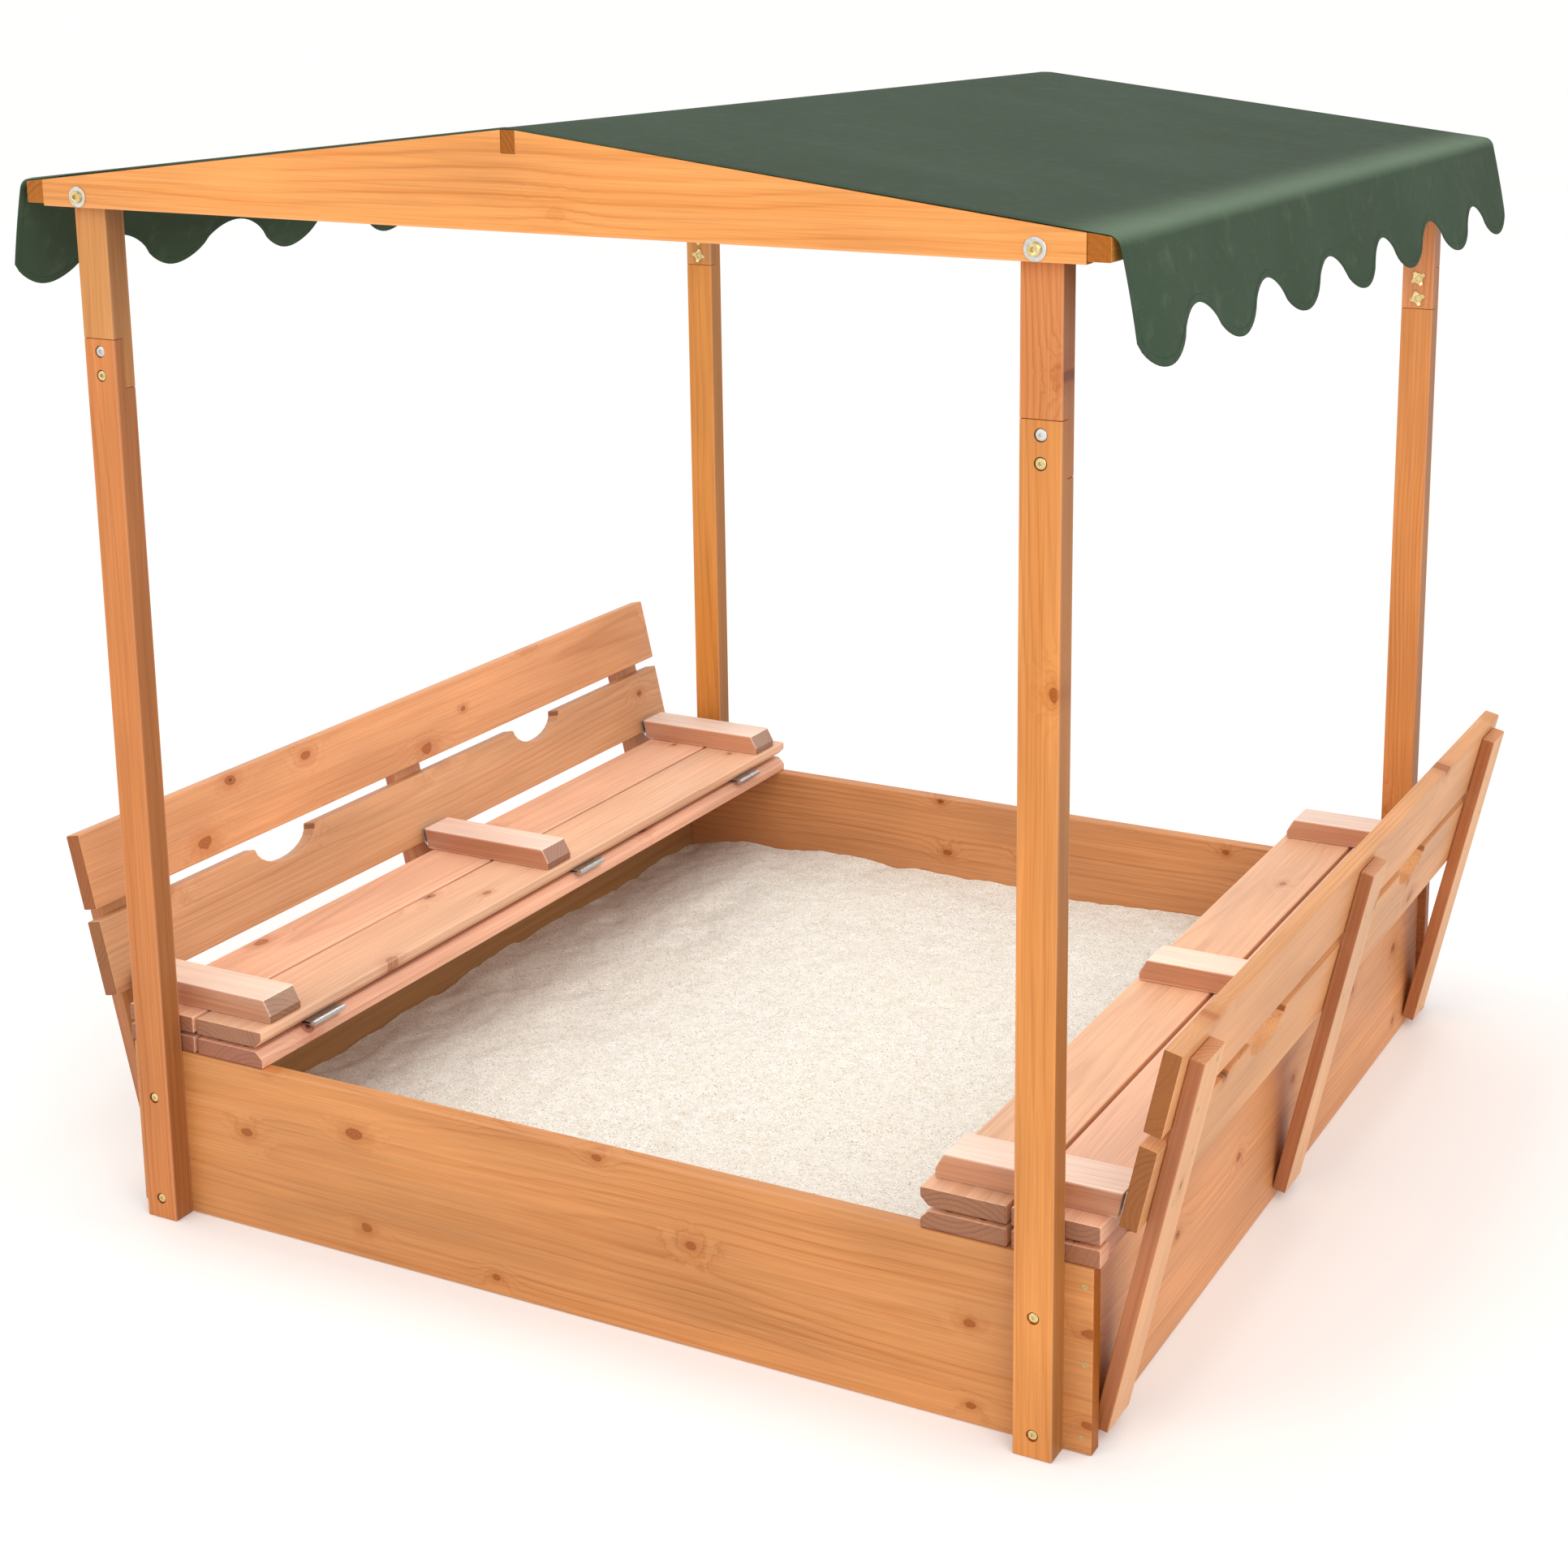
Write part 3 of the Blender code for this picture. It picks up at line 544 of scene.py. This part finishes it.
SILVER = metal("silver_zinc", linear(214, 214, 210), 0.30)
YELLOW = metal("yellow_zinc", linear(224, 208, 160), 0.32, 0.55)
SCREW_METAL = metal("screw_zinc", linear(196, 176, 130), 0.42, 0.45)
HINGE_METAL = metal("hinge_zinc", linear(200, 201, 202), 0.34)

STAND_OFF = 0.0001          # a bolt head's clearance from the wood
BOLT_SEAT_DEPTH = 0.003     # the posts' bolts sit in shallow bores
LAP_BOLT_Z = {"upper": 0.9935, "lower": 0.9680}
FOOT_BOLT_Z = (0.0240, 0.1470)
GABLE_BOLT_Z = 1.157
UPPER_BOLT, LOWER_BOLT, FOOT_BOLT = (0.0060, 0.0026), (0.0057, 0.0030), (0.0052, 0.0022)
GABLE_BOLT = (0.0066, 0.0036, 0.0028)       # radius, height, socket
WASHER = (0.0108, 0.0045, 0.0013)           # radius, hole, thickness
NUT_RADIUS = 0.0098
WALL_SCREW, BASE_SCREW, LEAF_SCREW = 0.0031, 0.0034, 0.0027     # head radii


def fasteners():
    """Bolts in laps, feet and gables, with pronged nuts inside the laps."""
    post_low, post_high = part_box("front_right_post_lower")
    centre_x = (post_low.x + post_high.x) / 2
    gable_low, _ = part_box("front_gable")
    for end, toward in ENDS:
        silver, yellow, nuts, washers, domes = (bmesh.new() for _ in range(5))
        out = Vector((0, toward, 0))
        bore_y = abs(post_low.y) * toward - toward * BOLT_SEAT_DEPTH + toward * STAND_OFF
        for _, side in SIDES:
            x = side * centre_x
            for label, z in LAP_BOLT_Z.items():
                place = basis((x, bore_y, z), out, 0.3 * side + z)
                if label == "upper":
                    socket_bolt(silver, place, *UPPER_BOLT)
                else:
                    socket_bolt(yellow, place, *LOWER_BOLT)
                inner_y = abs(post_high.y) * toward - toward * GAP * 0.5
                pronged_nut(nuts, basis((x, inner_y, z), -out, 0.25 * side + 9 * z), NUT_RADIUS)
            for z in FOOT_BOLT_Z:
                socket_bolt(yellow, basis((x, bore_y, z), out, 7 * z + side), *FOOT_BOLT)
            top = Vector((x, abs(gable_low.y) * toward + toward * STAND_OFF, GABLE_BOLT_Z))
            washer(washers, basis(top, out), *WASHER)
            dome = basis(top + out * (WASHER[2] + STAND_OFF), out, 0.4)
            socket_bolt(domes, dome, *GABLE_BOLT)
        for name, bm, material in (
                ("lap_bolts_silver", silver, SILVER), ("post_bolts_yellow", yellow, YELLOW),
                ("pronged_nuts", nuts, YELLOW), ("gable_washers", washers, SILVER),
                ("gable_bolts", domes, YELLOW)):
            new_piece(f"{end}_{name}", bm, material, "frame")


WALL_SCREWS = ((0.176, 0.0095), (0.095, 0.0085), (0.017, 0.0105))    # height, inset
SCREW_PROUD = 0.00005


def wall_screws():
    """Screws through the front and back walls' ends, and in the ends of the base boards."""
    low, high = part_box("front_wall")
    for end, toward in ENDS:
        bm = bmesh.new()
        for side in (-1, 1):
            for z, inset in WALL_SCREWS:
                spot = Vector((side * (high.x - inset), toward * (abs(low.y) + SCREW_PROUD), z))
                screw(bm, basis(spot, (0, toward, 0), z * 21), WALL_SCREW)
        new_piece(end + "_wall_screws", bm, SCREW_METAL, "frame")
    for side_name, _ in SIDES:
        for row in ("inner", "outer"):
            low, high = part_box(f"{side_name}_base_board_{row}")
            bm = bmesh.new()
            for y_share in (-0.985, 0.985):
                for x_share in (0.3, 0.7):
                    x = low.x + (high.x - low.x) * x_share
                    spot = Vector((x, high.y * y_share, high.z + SCREW_PROUD))
                    screw(bm, basis(spot, (0, 0, 1), x * 40), BASE_SCREW)
            new_piece(f"{side_name}_base_screws_{row}", bm, SCREW_METAL, "frame")


def slab(bm, place, width, depth, height, round_by=0.0003):
    """A thin plate with broken edges, centred on the matrix, its underside at Z 0."""
    half_w, half_d = width / 2, depth / 2
    loops = []
    for inset, z in ((round_by, 0.0), (0.0, round_by), (0.0, height - round_by), (round_by, height)):
        loop = []
        for sx, sy in ((-1, -1), (1, -1), (1, 1), (-1, 1)):
            loop.append(bm.verts.new(place @ Vector((
                sx * (half_w - inset), sy * (half_d - inset), z))))
        loops.append(loop)
    skin(bm, loops)


def knuckles(bm, start, end, radius):
    """A barrel's knuckles two and four of five, as short sleeves with a small bevel."""
    axis = end - start
    length = axis.length / 5
    gap = 0.00018
    for index in (1, 3):
        place = basis(start + axis.normalized() * length * index, axis)
        lathe(bm, place, [
            (radius * 0.90, gap, 0), (radius, gap + 0.0003, 0), (radius, length - gap - 0.0003, 0),
            (radius * 0.90, length - gap, 0),
        ], 20)


def back_axis(side):
    """A point on the backrest's hinge axis, its height from its joint."""
    for joint in frame["joints"]:
        if joint["name"] == "right_backrest_fold":
            return Vector((joint["pos_m"][0] * side, 0, joint["pos_m"][2]))


def lean_axes(side):
    """Unit vectors out of a backrest's rear face and up along it."""
    across = Vector((side * math.cos(TILT), 0, -math.sin(TILT)))
    along = Vector((side * math.sin(TILT), 0, math.cos(TILT)))
    return across, along


SEAT_BARREL = 0.0035        # radius
SEAT_LEAF = (0.0205, 0.0014)        # width, thickness
BACK_LEAF = (0.0200, 0.0012)
BACK_FACE = 0.0047          # from the hinge axis to the leaf's own plane


def seat_hinge(side_name, side, rib):
    """The leaf under the seat board, its knuckles, the pin's ends and both leaves' screws."""
    node = f"{side_name}_seat_hinge_{rib}"
    cover(node, HINGE_METAL)
    low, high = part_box(node)
    axis_x = high.x - SEAT_BARREL if side < 0 else low.x + SEAT_BARREL
    axis_z = low.z + SEAT_BARREL
    board_low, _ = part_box(f"{side_name}_seat_board_inner")
    leaf_top = board_low.z - 0.0002
    width, thickness = SEAT_LEAF
    centre_x = axis_x + side * (SEAT_BARREL * 0.55 + width / 2)
    middle_y, length = (low.y + high.y) / 2, high.y - low.y
    bm = bmesh.new()
    slab(bm, Matrix.Translation((centre_x, middle_y, leaf_top - thickness)), width, length,
         thickness)
    knuckles(bm, Vector((axis_x, low.y, axis_z)), Vector((axis_x, high.y, axis_z)),
             SEAT_BARREL + 0.0001)
    new_piece(f"{side_name}_seat_hinge_leaf_{rib}", bm, HINGE_METAL, side_name + "_seat")
    moving, fixed = bmesh.new(), bmesh.new()
    screw_x = centre_x + side * 0.001
    for share in (-0.30, 0.30):
        y = middle_y + share * length
        screw(moving, basis((screw_x, y, leaf_top - thickness - SCREW_PROUD), (0, 0, -1), 3 * y),
              LEAF_SCREW)
        screw(fixed, basis((screw_x, y, axis_z - 0.00065), (0, 0, 1), 5 * y), LEAF_SCREW)
    new_piece(f"{side_name}_seat_leaf_screws_{rib}", moving, SCREW_METAL, side_name + "_seat")
    new_piece(f"{side_name}_base_leaf_screws_{rib}", fixed, SCREW_METAL, "frame")
    pin = bmesh.new()
    for y, way in ((low.y, -1), (high.y, 1)):
        lathe(pin, basis((axis_x, y + way * STAND_OFF, axis_z), (0, way, 0)), [
            (0.0016, 0.0, 0), (0.0019, 0.0002, 0), (0.0017, 0.0007, 0), (0.0010, 0.0010, 0)], 16)
    new_piece(f"{side_name}_seat_hinge_pin_{rib}", pin, HINGE_METAL, "frame")


def backrest_hinge(side_name, side, rib):
    """The leaf on the backrest board's face, the web that joins it to the barrel, knuckles."""
    node = f"{side_name}_backrest_hinge_{rib}"
    cover(node, HINGE_METAL)
    low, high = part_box(node)
    across, along = lean_axes(side)
    middle_y, length = (low.y + high.y) / 2, high.y - low.y
    face = back_axis(side) + across * BACK_FACE + Vector((0, middle_y, 0))
    reach, thickness = BACK_LEAF
    place = Matrix((
        (along.x, 0.0, -across.x),
        (0.0, 1.0, 0.0),
        (along.z, 0.0, -across.z))).to_4x4()
    bm = bmesh.new()
    place.translation = face + along * (reach / 2 + 0.0006)
    slab(bm, place, reach, length, thickness)
    place.translation = face + along * 0.0008
    slab(bm, place, 0.0026, length * 0.18, 0.0024)
    start = back_axis(side) + Vector((0, low.y, 0))
    knuckles(bm, start, start + Vector((0, length, 0)), 0.0031)
    new_piece(f"{side_name}_backrest_hinge_leaf_{rib}", bm, HINGE_METAL, side_name + "_backrest")


BRACE_FACE = 0.04034        # from the hinge axis to the braces' outer face
BRACE_SCREWS = ((0.025, -0.012), (0.069, 0.012), (0.127, -0.012), (0.171, 0.012))


def brace_screws(side_name, side):
    """Pairs of screws through each brace into the two backrest boards."""
    across, along = lean_axes(side)
    bm = bmesh.new()
    for rib in RIBS:
        low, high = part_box(f"{side_name}_backrest_brace_{rib}")
        middle_y = (low.y + high.y) / 2
        for up, sideways in BRACE_SCREWS:
            spot = back_axis(side) + across * BRACE_FACE + along * up
            spot += Vector((0, middle_y + sideways, 0))
            screw(bm, basis(spot, across, 40 * up + middle_y), WALL_SCREW)
    new_piece(side_name + "_brace_screws", bm, SCREW_METAL, side_name + "_backrest")


def hinges():
    for side_name, side in SIDES:
        for rib in RIBS:
            seat_hinge(side_name, side, rib)
            backrest_hinge(side_name, side, rib)
        brace_screws(side_name, side)


# Canopy ------------------------------------------------------------------------------------

SCALLOP_PITCH = 0.1935
VALANCE_FLARE = math.radians(14)
VALANCE_DROP = 0.088        # mean length below the bend
LOBE_REACH = 0.022          # lobes longer and arches shorter than the mean by this
THREAD_PITCH = 0.0016       # one period of the weave
STITCH_PITCH = 0.0042
CLOTH = 0.0012              # thickness
HEM = 0.0074                # width of the doubled edge
HEM_EXTRA = 0.00045         # the doubled edge is thicker by this
BEND_RADIUS = 0.0125        # over the eave beam's outer edge
BEND_INSET, BEND_SINK = 0.0038, 0.0107      # the bend's centre, in and down from that edge
SAG, RIPPLE, PULL = 0.0035, 0.0016, 0.0012  # depths of the roof's unevenness
BILLOW, TUCK = 0.0030, 0.004                # the valance's waves, and its lean back inwards
ROOF_STEPS, BEND_STEPS, SKIRT_STEPS, LOBE_STEPS = 30, 9, 14, 26


def valance_drop(y):
    """The valance's length below the bend, with rounded lobes and narrower arches."""
    wave = math.cos(2 * math.pi * y / SCALLOP_PITCH)
    return VALANCE_DROP + LOBE_REACH * math.copysign(abs(wave) ** 0.75, wave)


def canopy_material():
    """Coated woven polyester: fine weave with painted highlights on its crests, a painted highlight
    band along the eave bend, faint creases and dust.
    """
    graph = Graph("canopy_cloth_weave")
    place = graph.coordinates.outputs["Object"]
    x, y, z = graph.separate(place)
    slope = graph.math("ADD", graph.math("ABSOLUTE", x), graph.math("MULTIPLY", z, -1.0))
    pitch = 2 * math.pi / THREAD_PITCH
    warp = graph.math("SINE", graph.math("MULTIPLY", y, pitch))
    weft = graph.math("SINE", graph.math("MULTIPLY", slope, pitch))
    weave = graph.math("MULTIPLY", warp, weft)
    slubs = []
    for down, sideways in ((30.0, 700.0), (700.0, 30.0)):
        stretched = graph.combine(
            graph.math("MULTIPLY", slope, down), graph.math("MULTIPLY", y, sideways), z)
        slubs.append(graph.noise(stretched, 1.0, 2.0))
    broad = graph.noise(place, 3.0, 3.0, 0.5)
    dust = graph.noise(place, 38.0, 4.0, 0.6)
    dark, light = linear(50, 65, 49), linear(60, 77, 60)
    tone = graph.mix(graph.smooth(broad, 0.15, 0.85), dark, light)
    # Painted highlight on the weave's raised crests
    painted_crest_highlight = graph.math("MULTIPLY", graph.smooth(weave, -0.4, 0.9), 0.22)
    tone = graph.mix(painted_crest_highlight, tone, shaded(light, 1.35))
    threads = graph.math("ADD", *(graph.smooth(slub, 0.45, 0.75) for slub in slubs))
    tone = graph.mix(graph.math("MULTIPLY", threads, 0.10), tone, shaded(light, 1.5, 0.8))
    dusty = graph.math("MULTIPLY", graph.smooth(dust, 0.50, 0.80), 0.10)
    tone = graph.mix(dusty, tone, linear(150, 156, 140))
    # Painted highlight: a pale band where the cloth bends over the eave beam
    fold = graph.node("ShaderNodeAttribute", attribute_name="fold").outputs["Fac"]
    painted_highlight = graph.math("POWER", graph.smooth(fold, -0.075, 0.004), 1.6)
    painted_highlight = graph.math("MULTIPLY", painted_highlight, graph.smooth(fold, 0.018, 0.004))
    painted_highlight = graph.math("MULTIPLY", painted_highlight, graph.math("MULTIPLY_ADD", broad, 0.5, 0.7))
    tone = graph.mix(graph.math("MULTIPLY", painted_highlight, 0.62), tone, linear(116, 138, 114))
    # One row of stitches runs along the hem's inner edge
    rim = graph.node("ShaderNodeAttribute", attribute_name="rim").outputs["Fac"]
    stitch_line = graph.math(
        "MULTIPLY", graph.smooth(rim, 0.0064, 0.0070), graph.smooth(rim, 0.0082, 0.0076))
    along = graph.math("MULTIPLY", graph.math("ADD", y, slope), 2 * math.pi / STITCH_PITCH)
    dashes = graph.smooth(graph.math("SINE", along), -0.3, 0.1)
    stitch = graph.math("MULTIPLY", stitch_line, dashes)
    tone = graph.mix(graph.math("MULTIPLY", stitch, 0.55), tone, shaded(dark, 0.55))
    graph.put(tone, graph.shader.inputs["Base Color"])
    matt = graph.ramp(dust, [(0.3, grey(0.60)), (0.7, grey(0.72))])
    graph.put(matt, graph.shader.inputs["Roughness"])
    graph.shader.inputs["Specular IOR Level"].default_value = 0.06
    height = graph.math("MULTIPLY_ADD", weave, 0.5, graph.math("MULTIPLY", threads, 0.4))
    height = graph.math("MULTIPLY_ADD", stitch, -2.0, height)
    graph.bump(height, 0.00012, 0.5)
    return graph.material


def canopy():
    """The sheet over ridge and eaves, slack between them, with a scalloped hemmed valance."""
    ridge_low, ridge_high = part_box("ridge_beam")
    eave_low, eave_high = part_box("right_eave_beam")
    eave_top = eave_low.z + eave_high.x - eave_low.x     # at the outer edge of the square beam
    _, gable_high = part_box("back_gable")
    half_depth = gable_high.y
    ridge_x = (ridge_high.x - ridge_low.x) / 2
    top = ridge_high.z + GAP
    fall = (ridge_high.z - eave_top) / (eave_high.x - ridge_x)
    slope = math.atan(fall)
    centre = (eave_high.x - BEND_INSET, eave_top - BEND_SINK)
    bend_start = (centre[0] + BEND_RADIUS * math.sin(slope),
                  centre[1] + BEND_RADIUS * math.cos(slope))
    bend_rise = bend_start[1] - (top - fall * (bend_start[0] - ridge_x))
    rows = 7 * LOBE_STEPS

    def half_section(y):
        """Points (x, z, normal angle, distance to the valance's edge, to the fold) on one side."""
        drop = valance_drop(y)
        across_y = math.cos(math.pi / 2 * min(1.0, abs(y) / (half_depth - 0.015)))
        points = []
        for step in range(1, ROOF_STEPS + 1):
            share = step / ROOF_STEPS
            x = ridge_x + (bend_start[0] - ridge_x) * share
            z = top - fall * (x - ridge_x) + bend_rise * share
            middle = math.sin(math.pi * share)
            slack = middle * across_y ** 0.8
            ripple = noise.noise(Vector((x * 5.0, y * 3.0, 4.2))) * RIPPLE * middle
            pull = PULL * math.sin(34.0 * y + 9.0 * share) * middle * (1 - across_y) * across_y * 3
            points.append((
                x, z - SAG * slack + ripple * across_y + pull, math.pi / 2 - slope, 1.0,
                (x - bend_start[0]) / math.cos(slope)))
        for step in range(1, BEND_STEPS + 1):
            angle = math.pi / 2 - slope + (VALANCE_FLARE - math.pi / 2 + slope) * step / BEND_STEPS
            points.append((
                centre[0] + BEND_RADIUS * math.cos(angle), centre[1] + BEND_RADIUS * math.sin(angle),
                angle, 1.0, BEND_RADIUS * (math.pi / 2 - slope - angle)))
        last = points[-1]
        wave = math.sin(2 * math.pi * y / SCALLOP_PITCH + 0.8)
        wave += 0.6 * math.sin(2 * math.pi * y / 0.47 + 2.0)
        lengths = [(drop - HEM) * step / (SKIRT_STEPS - 4) for step in range(1, SKIRT_STEPS - 3)]
        lengths += [drop - HEM * 0.9, drop - HEM * 0.5, drop - HEM * 0.12, drop]
        for down in lengths:
            part = down / (VALANCE_DROP + LOBE_REACH)
            billow = BILLOW * wave * part ** 1.5 - TUCK * part ** 2
            points.append((
                last[0] + down * math.sin(VALANCE_FLARE) + billow,
                last[1] - down * math.cos(VALANCE_FLARE), VALANCE_FLARE, drop - down, last[4] + down))
        return points

    bm = bmesh.new()
    rim = bm.verts.layers.float.new("rim")
    fold = bm.verts.layers.float.new("fold")
    under, over = [], []
    for row in range(rows + 1):
        y = half_depth * (2 * row / rows - 1)
        half = half_section(y)
        full = [(-x, z, math.pi - angle, edge, bent) for x, z, angle, edge, bent in reversed(half)]
        for x, rise in ((-ridge_x, 0.0), (0.0, 0.0002), (ridge_x, 0.0)):
            full.append((x, top + rise, math.pi / 2, 1.0, -1.0))
        full += half
        low_row, high_row = [], []
        for x, z, angle, edge, bent in full:
            edge = min(edge, half_depth - abs(y))
            depth = CLOTH + (HEM_EXTRA if edge < HEM else 0.0)
            soft = depth * (0.55 if edge < 0.0004 else 1.0)
            lower = bm.verts.new((x, y, z))
            upper = bm.verts.new((x + soft * math.cos(angle), y, z + soft * math.sin(angle)))
            lower[rim] = upper[rim] = edge
            lower[fold] = upper[fold] = bent
            low_row.append(lower)
            high_row.append(upper)
        under.append(low_row)
        over.append(high_row)
    columns = len(under[0])
    for row in range(rows):
        this, after = (under[row], over[row]), (under[row + 1], over[row + 1])
        for column in range(columns - 1):
            beside = column + 1
            bm.faces.new((this[0][column], after[0][column], after[0][beside], this[0][beside]))
            bm.faces.new((this[1][column], this[1][beside], after[1][beside], after[1][column]))
        bm.faces.new((this[0][0], this[1][0], after[1][0], after[0][0]))
        bm.faces.new((this[0][-1], after[0][-1], after[1][-1], this[1][-1]))
    for column in range(columns - 1):
        beside = column + 1
        bm.faces.new((under[0][column], under[0][beside], over[0][beside], over[0][column]))
        bm.faces.new((under[rows][column], over[rows][column], over[rows][beside],
                      under[rows][beside]))
    item = new_piece("canopy_cloth", bm, canopy_material(), "frame", 60.0)
    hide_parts("canopy")


# Sand --------------------------------------------------------------------------------------


SAND_LEVEL = 0.075
BENCH_DIP, DIP_REACH = 0.018, 0.11      # the sand sinks towards the side walls
DRIFT, DRIFT_REACH = 0.004, 0.03        # and rises a little along every wall
MOUND, LUMP, GRAIN, PIT = 0.006, 0.0042, 0.0016, 0.0035     # heights, from broad to fine
SAND_CELLS = 190


def sand_material():
    """Pale quartz sand: fine grains, damper patches, single dark and white grains."""
    graph = Graph("play_sand")
    place = graph.coordinates.outputs["Object"]
    grains = graph.noise(place, 620.0, 3.0, 0.65)
    clumps = graph.noise(place, 95.0, 4.0, 0.6)
    broad = graph.noise(place, 6.0, 3.0, 0.5)
    voronoi = graph.node("ShaderNodeTexVoronoi", feature="F1")
    graph.put(place, voronoi.inputs["Vector"])
    voronoi.inputs["Scale"].default_value = 700.0
    pick = graph.separate(voronoi.outputs["Color"])
    tone = graph.ramp(grains, [
        (0.30, linear(195, 187, 173)), (0.50, linear(225, 221, 214)),
        (0.70, linear(241, 240, 238))])
    # Painted shade: the hollows between clumps are darker
    hollow_painted_shade = graph.math("MULTIPLY", graph.smooth(clumps, 0.58, 0.36), 0.45)
    tone = graph.mix(hollow_painted_shade, tone, linear(205, 194, 174))
    patches = graph.math("MULTIPLY", graph.smooth(broad, 0.35, 0.7), 0.22)
    tone = graph.mix(patches, tone, linear(224, 214, 198))
    dark = graph.math("MULTIPLY", graph.smooth(pick[0], 0.93, 0.95), 0.55)
    tone = graph.mix(dark, tone, linear(128, 108, 84))
    pale = graph.math("MULTIPLY", graph.smooth(pick[1], 0.90, 0.92), 0.6)
    tone = graph.mix(pale, tone, linear(255, 251, 242))
    graph.put(tone, graph.shader.inputs["Base Color"])
    graph.shader.inputs["Roughness"].default_value = 0.92
    graph.shader.inputs["Specular IOR Level"].default_value = 0.25
    height = graph.math("MULTIPLY_ADD", grains, 0.5, graph.math("MULTIPLY", clumps, 1.2))
    graph.bump(height, 0.0011, 0.9)
    return graph.material


def sand():
    """Loose sand: mounds, dimples, a small drift along the walls, less under the benches."""
    low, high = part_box("sand_fill")
    cells = SAND_CELLS
    bm = bmesh.new()
    grid = []
    for row in range(cells + 1):
        line = []
        for column in range(cells + 1):
            x = low.x + (high.x - low.x) * column / cells
            y = low.y + (high.y - low.y) * row / cells
            z = SAND_LEVEL + MOUND * math.sin(9.0 * x + 1.3) * math.cos(8.0 * y - 0.6)
            z += LUMP * noise.fractal(Vector((x * 7, y * 7, 1.7)), 0.8, 2.1, 4)
            z += GRAIN * noise.fractal(Vector((x * 38, y * 38, 5.1)), 0.9, 2.2, 3)
            pit = noise.noise(Vector((x * 17, y * 17, 9.4)))
            z -= PIT * max(0.0, pit - 0.18) * 2.4
            edge = min(x - low.x, high.x - x, y - low.y, high.y - y)
            z += DRIFT * math.exp(-edge / DRIFT_REACH) * (1 + noise.noise(Vector((x * 9, y * 9, 3.3))))
            z -= BENCH_DIP * math.exp(-min(x - low.x, high.x - x) / DIP_REACH)
            line.append(bm.verts.new((x, y, min(z, high.z + 0.006))))
        grid.append(line)
    for row in range(cells):
        for column in range(cells):
            bm.faces.new((grid[row][column], grid[row][column + 1],
                          grid[row + 1][column + 1], grid[row + 1][column]))
    # The flat sides go down from the surface's rim, once round, to a flat bottom
    rim = grid[0][:-1] + [line[-1] for line in grid[:-1]]
    rim += grid[-1][:0:-1] + [line[0] for line in grid[:0:-1]]
    foot = [bm.verts.new((vert.co.x, vert.co.y, low.z)) for vert in rim]
    for index in range(len(rim)):
        after = (index + 1) % len(rim)
        bm.faces.new((foot[index], foot[after], rim[after], rim[index]))
    bm.faces.new(list(reversed(foot)))
    item = new_piece("sand_heaped", bm, sand_material(), "frame", 50.0)
    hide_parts("sand_fill")


# Stage -------------------------------------------------------------------------------------


FLOOR_HALF = 150.0
FLOOR_Z = -0.0004           # just below the feet


def stage():
    """A wide white floor with a slight glow, so that it runs into the white background."""
    graph = Graph("studio_floor")
    cloud = graph.noise(graph.coordinates.outputs["Object"], 0.7, 2.0)
    paint = graph.ramp(cloud, [(0.3, grey(0.895)), (0.7, grey(0.905))])
    graph.put(paint, graph.shader.inputs["Base Color"])
    graph.shader.inputs["Roughness"].default_value = 0.85
    graph.shader.inputs["Specular IOR Level"].default_value = 0.1
    graph.shader.inputs["Emission Color"].default_value = (1.0, 1.0, 1.0, 1.0)
    graph.shader.inputs["Emission Strength"].default_value = 0.07
    bm = bmesh.new()
    for sx, sy in ((-1, -1), (1, -1), (1, 1), (-1, 1)):
        bm.verts.new((sx * FLOOR_HALF, sy * FLOOR_HALF, FLOOR_Z))
    bm.faces.new(bm.verts)
    mesh = bpy.data.meshes.new("studio_floor")
    bm.to_mesh(mesh)
    bm.free()
    mesh.materials.append(graph.material)
    floor = bpy.data.objects.new("studio_floor", mesh)
    bpy.context.scene.collection.objects.link(floor)


def area_light(name, place, target, size, energy, colour=(1, 1, 1)):
    data = bpy.data.lights.new(name, "AREA")
    data.shape = "SQUARE"
    data.size = size
    data.energy = energy
    data.color = colour
    item = bpy.data.objects.new(name, data)
    item.location = place
    item.rotation_euler = (Vector(target) - Vector(place)).to_track_quat("-Z", "Y").to_euler()
    bpy.context.scene.collection.objects.link(item)


def lighting():
    """Even white surroundings with three soft lamps."""
    world = bpy.data.worlds.new("studio")
    world.use_nodes = True
    background = world.node_tree.nodes["Background"]
    background.inputs["Color"].default_value = (1.0, 0.99, 0.975, 1.0)
    background.inputs["Strength"].default_value = 1.05
    bpy.context.scene.world = world
    area_light("key", (3.4, -3.0, 2.9), (0.2, 0, 0.3), 2.4, 60, (1.0, 0.985, 0.97))
    area_light("front", (-2.4, -4.6, 3.0), (0, 0, 0.4), 2.4, 36)
    area_light("under_roof", (0, 0, 1.10), (0, 0, 0), 1.0, 8, (1.0, 0.985, 0.97))
    scene = bpy.context.scene
    scene.view_settings.view_transform = "Standard"
    scene.view_settings.look = "None"


LENS_MM, SENSOR_MM = 58.22, 36.0
LENS_SHIFT = (-0.100, -0.170)
EYE = (1.4086, -2.6045, 1.4035)
LOOKS_DOWN, TURNED_LEFT = 12.568, 25.914        # degrees from level and from +Y


def camera():
    """The view from the front right, as solved from the object's edges."""
    data = bpy.data.cameras.new("view")
    data.lens = LENS_MM
    data.sensor_width = SENSOR_MM
    data.shift_x, data.shift_y = LENS_SHIFT
    item = bpy.data.objects.new("view", data)
    item.location = EYE
    item.rotation_euler = (math.radians(90 - LOOKS_DOWN), 0.0, math.radians(TURNED_LEFT))
    bpy.context.scene.collection.objects.link(item)
    bpy.context.scene.camera = item


dress_all_wood()
fasteners()
wall_screws()
hinges()
canopy()
sand()
stage()
lighting()
camera()
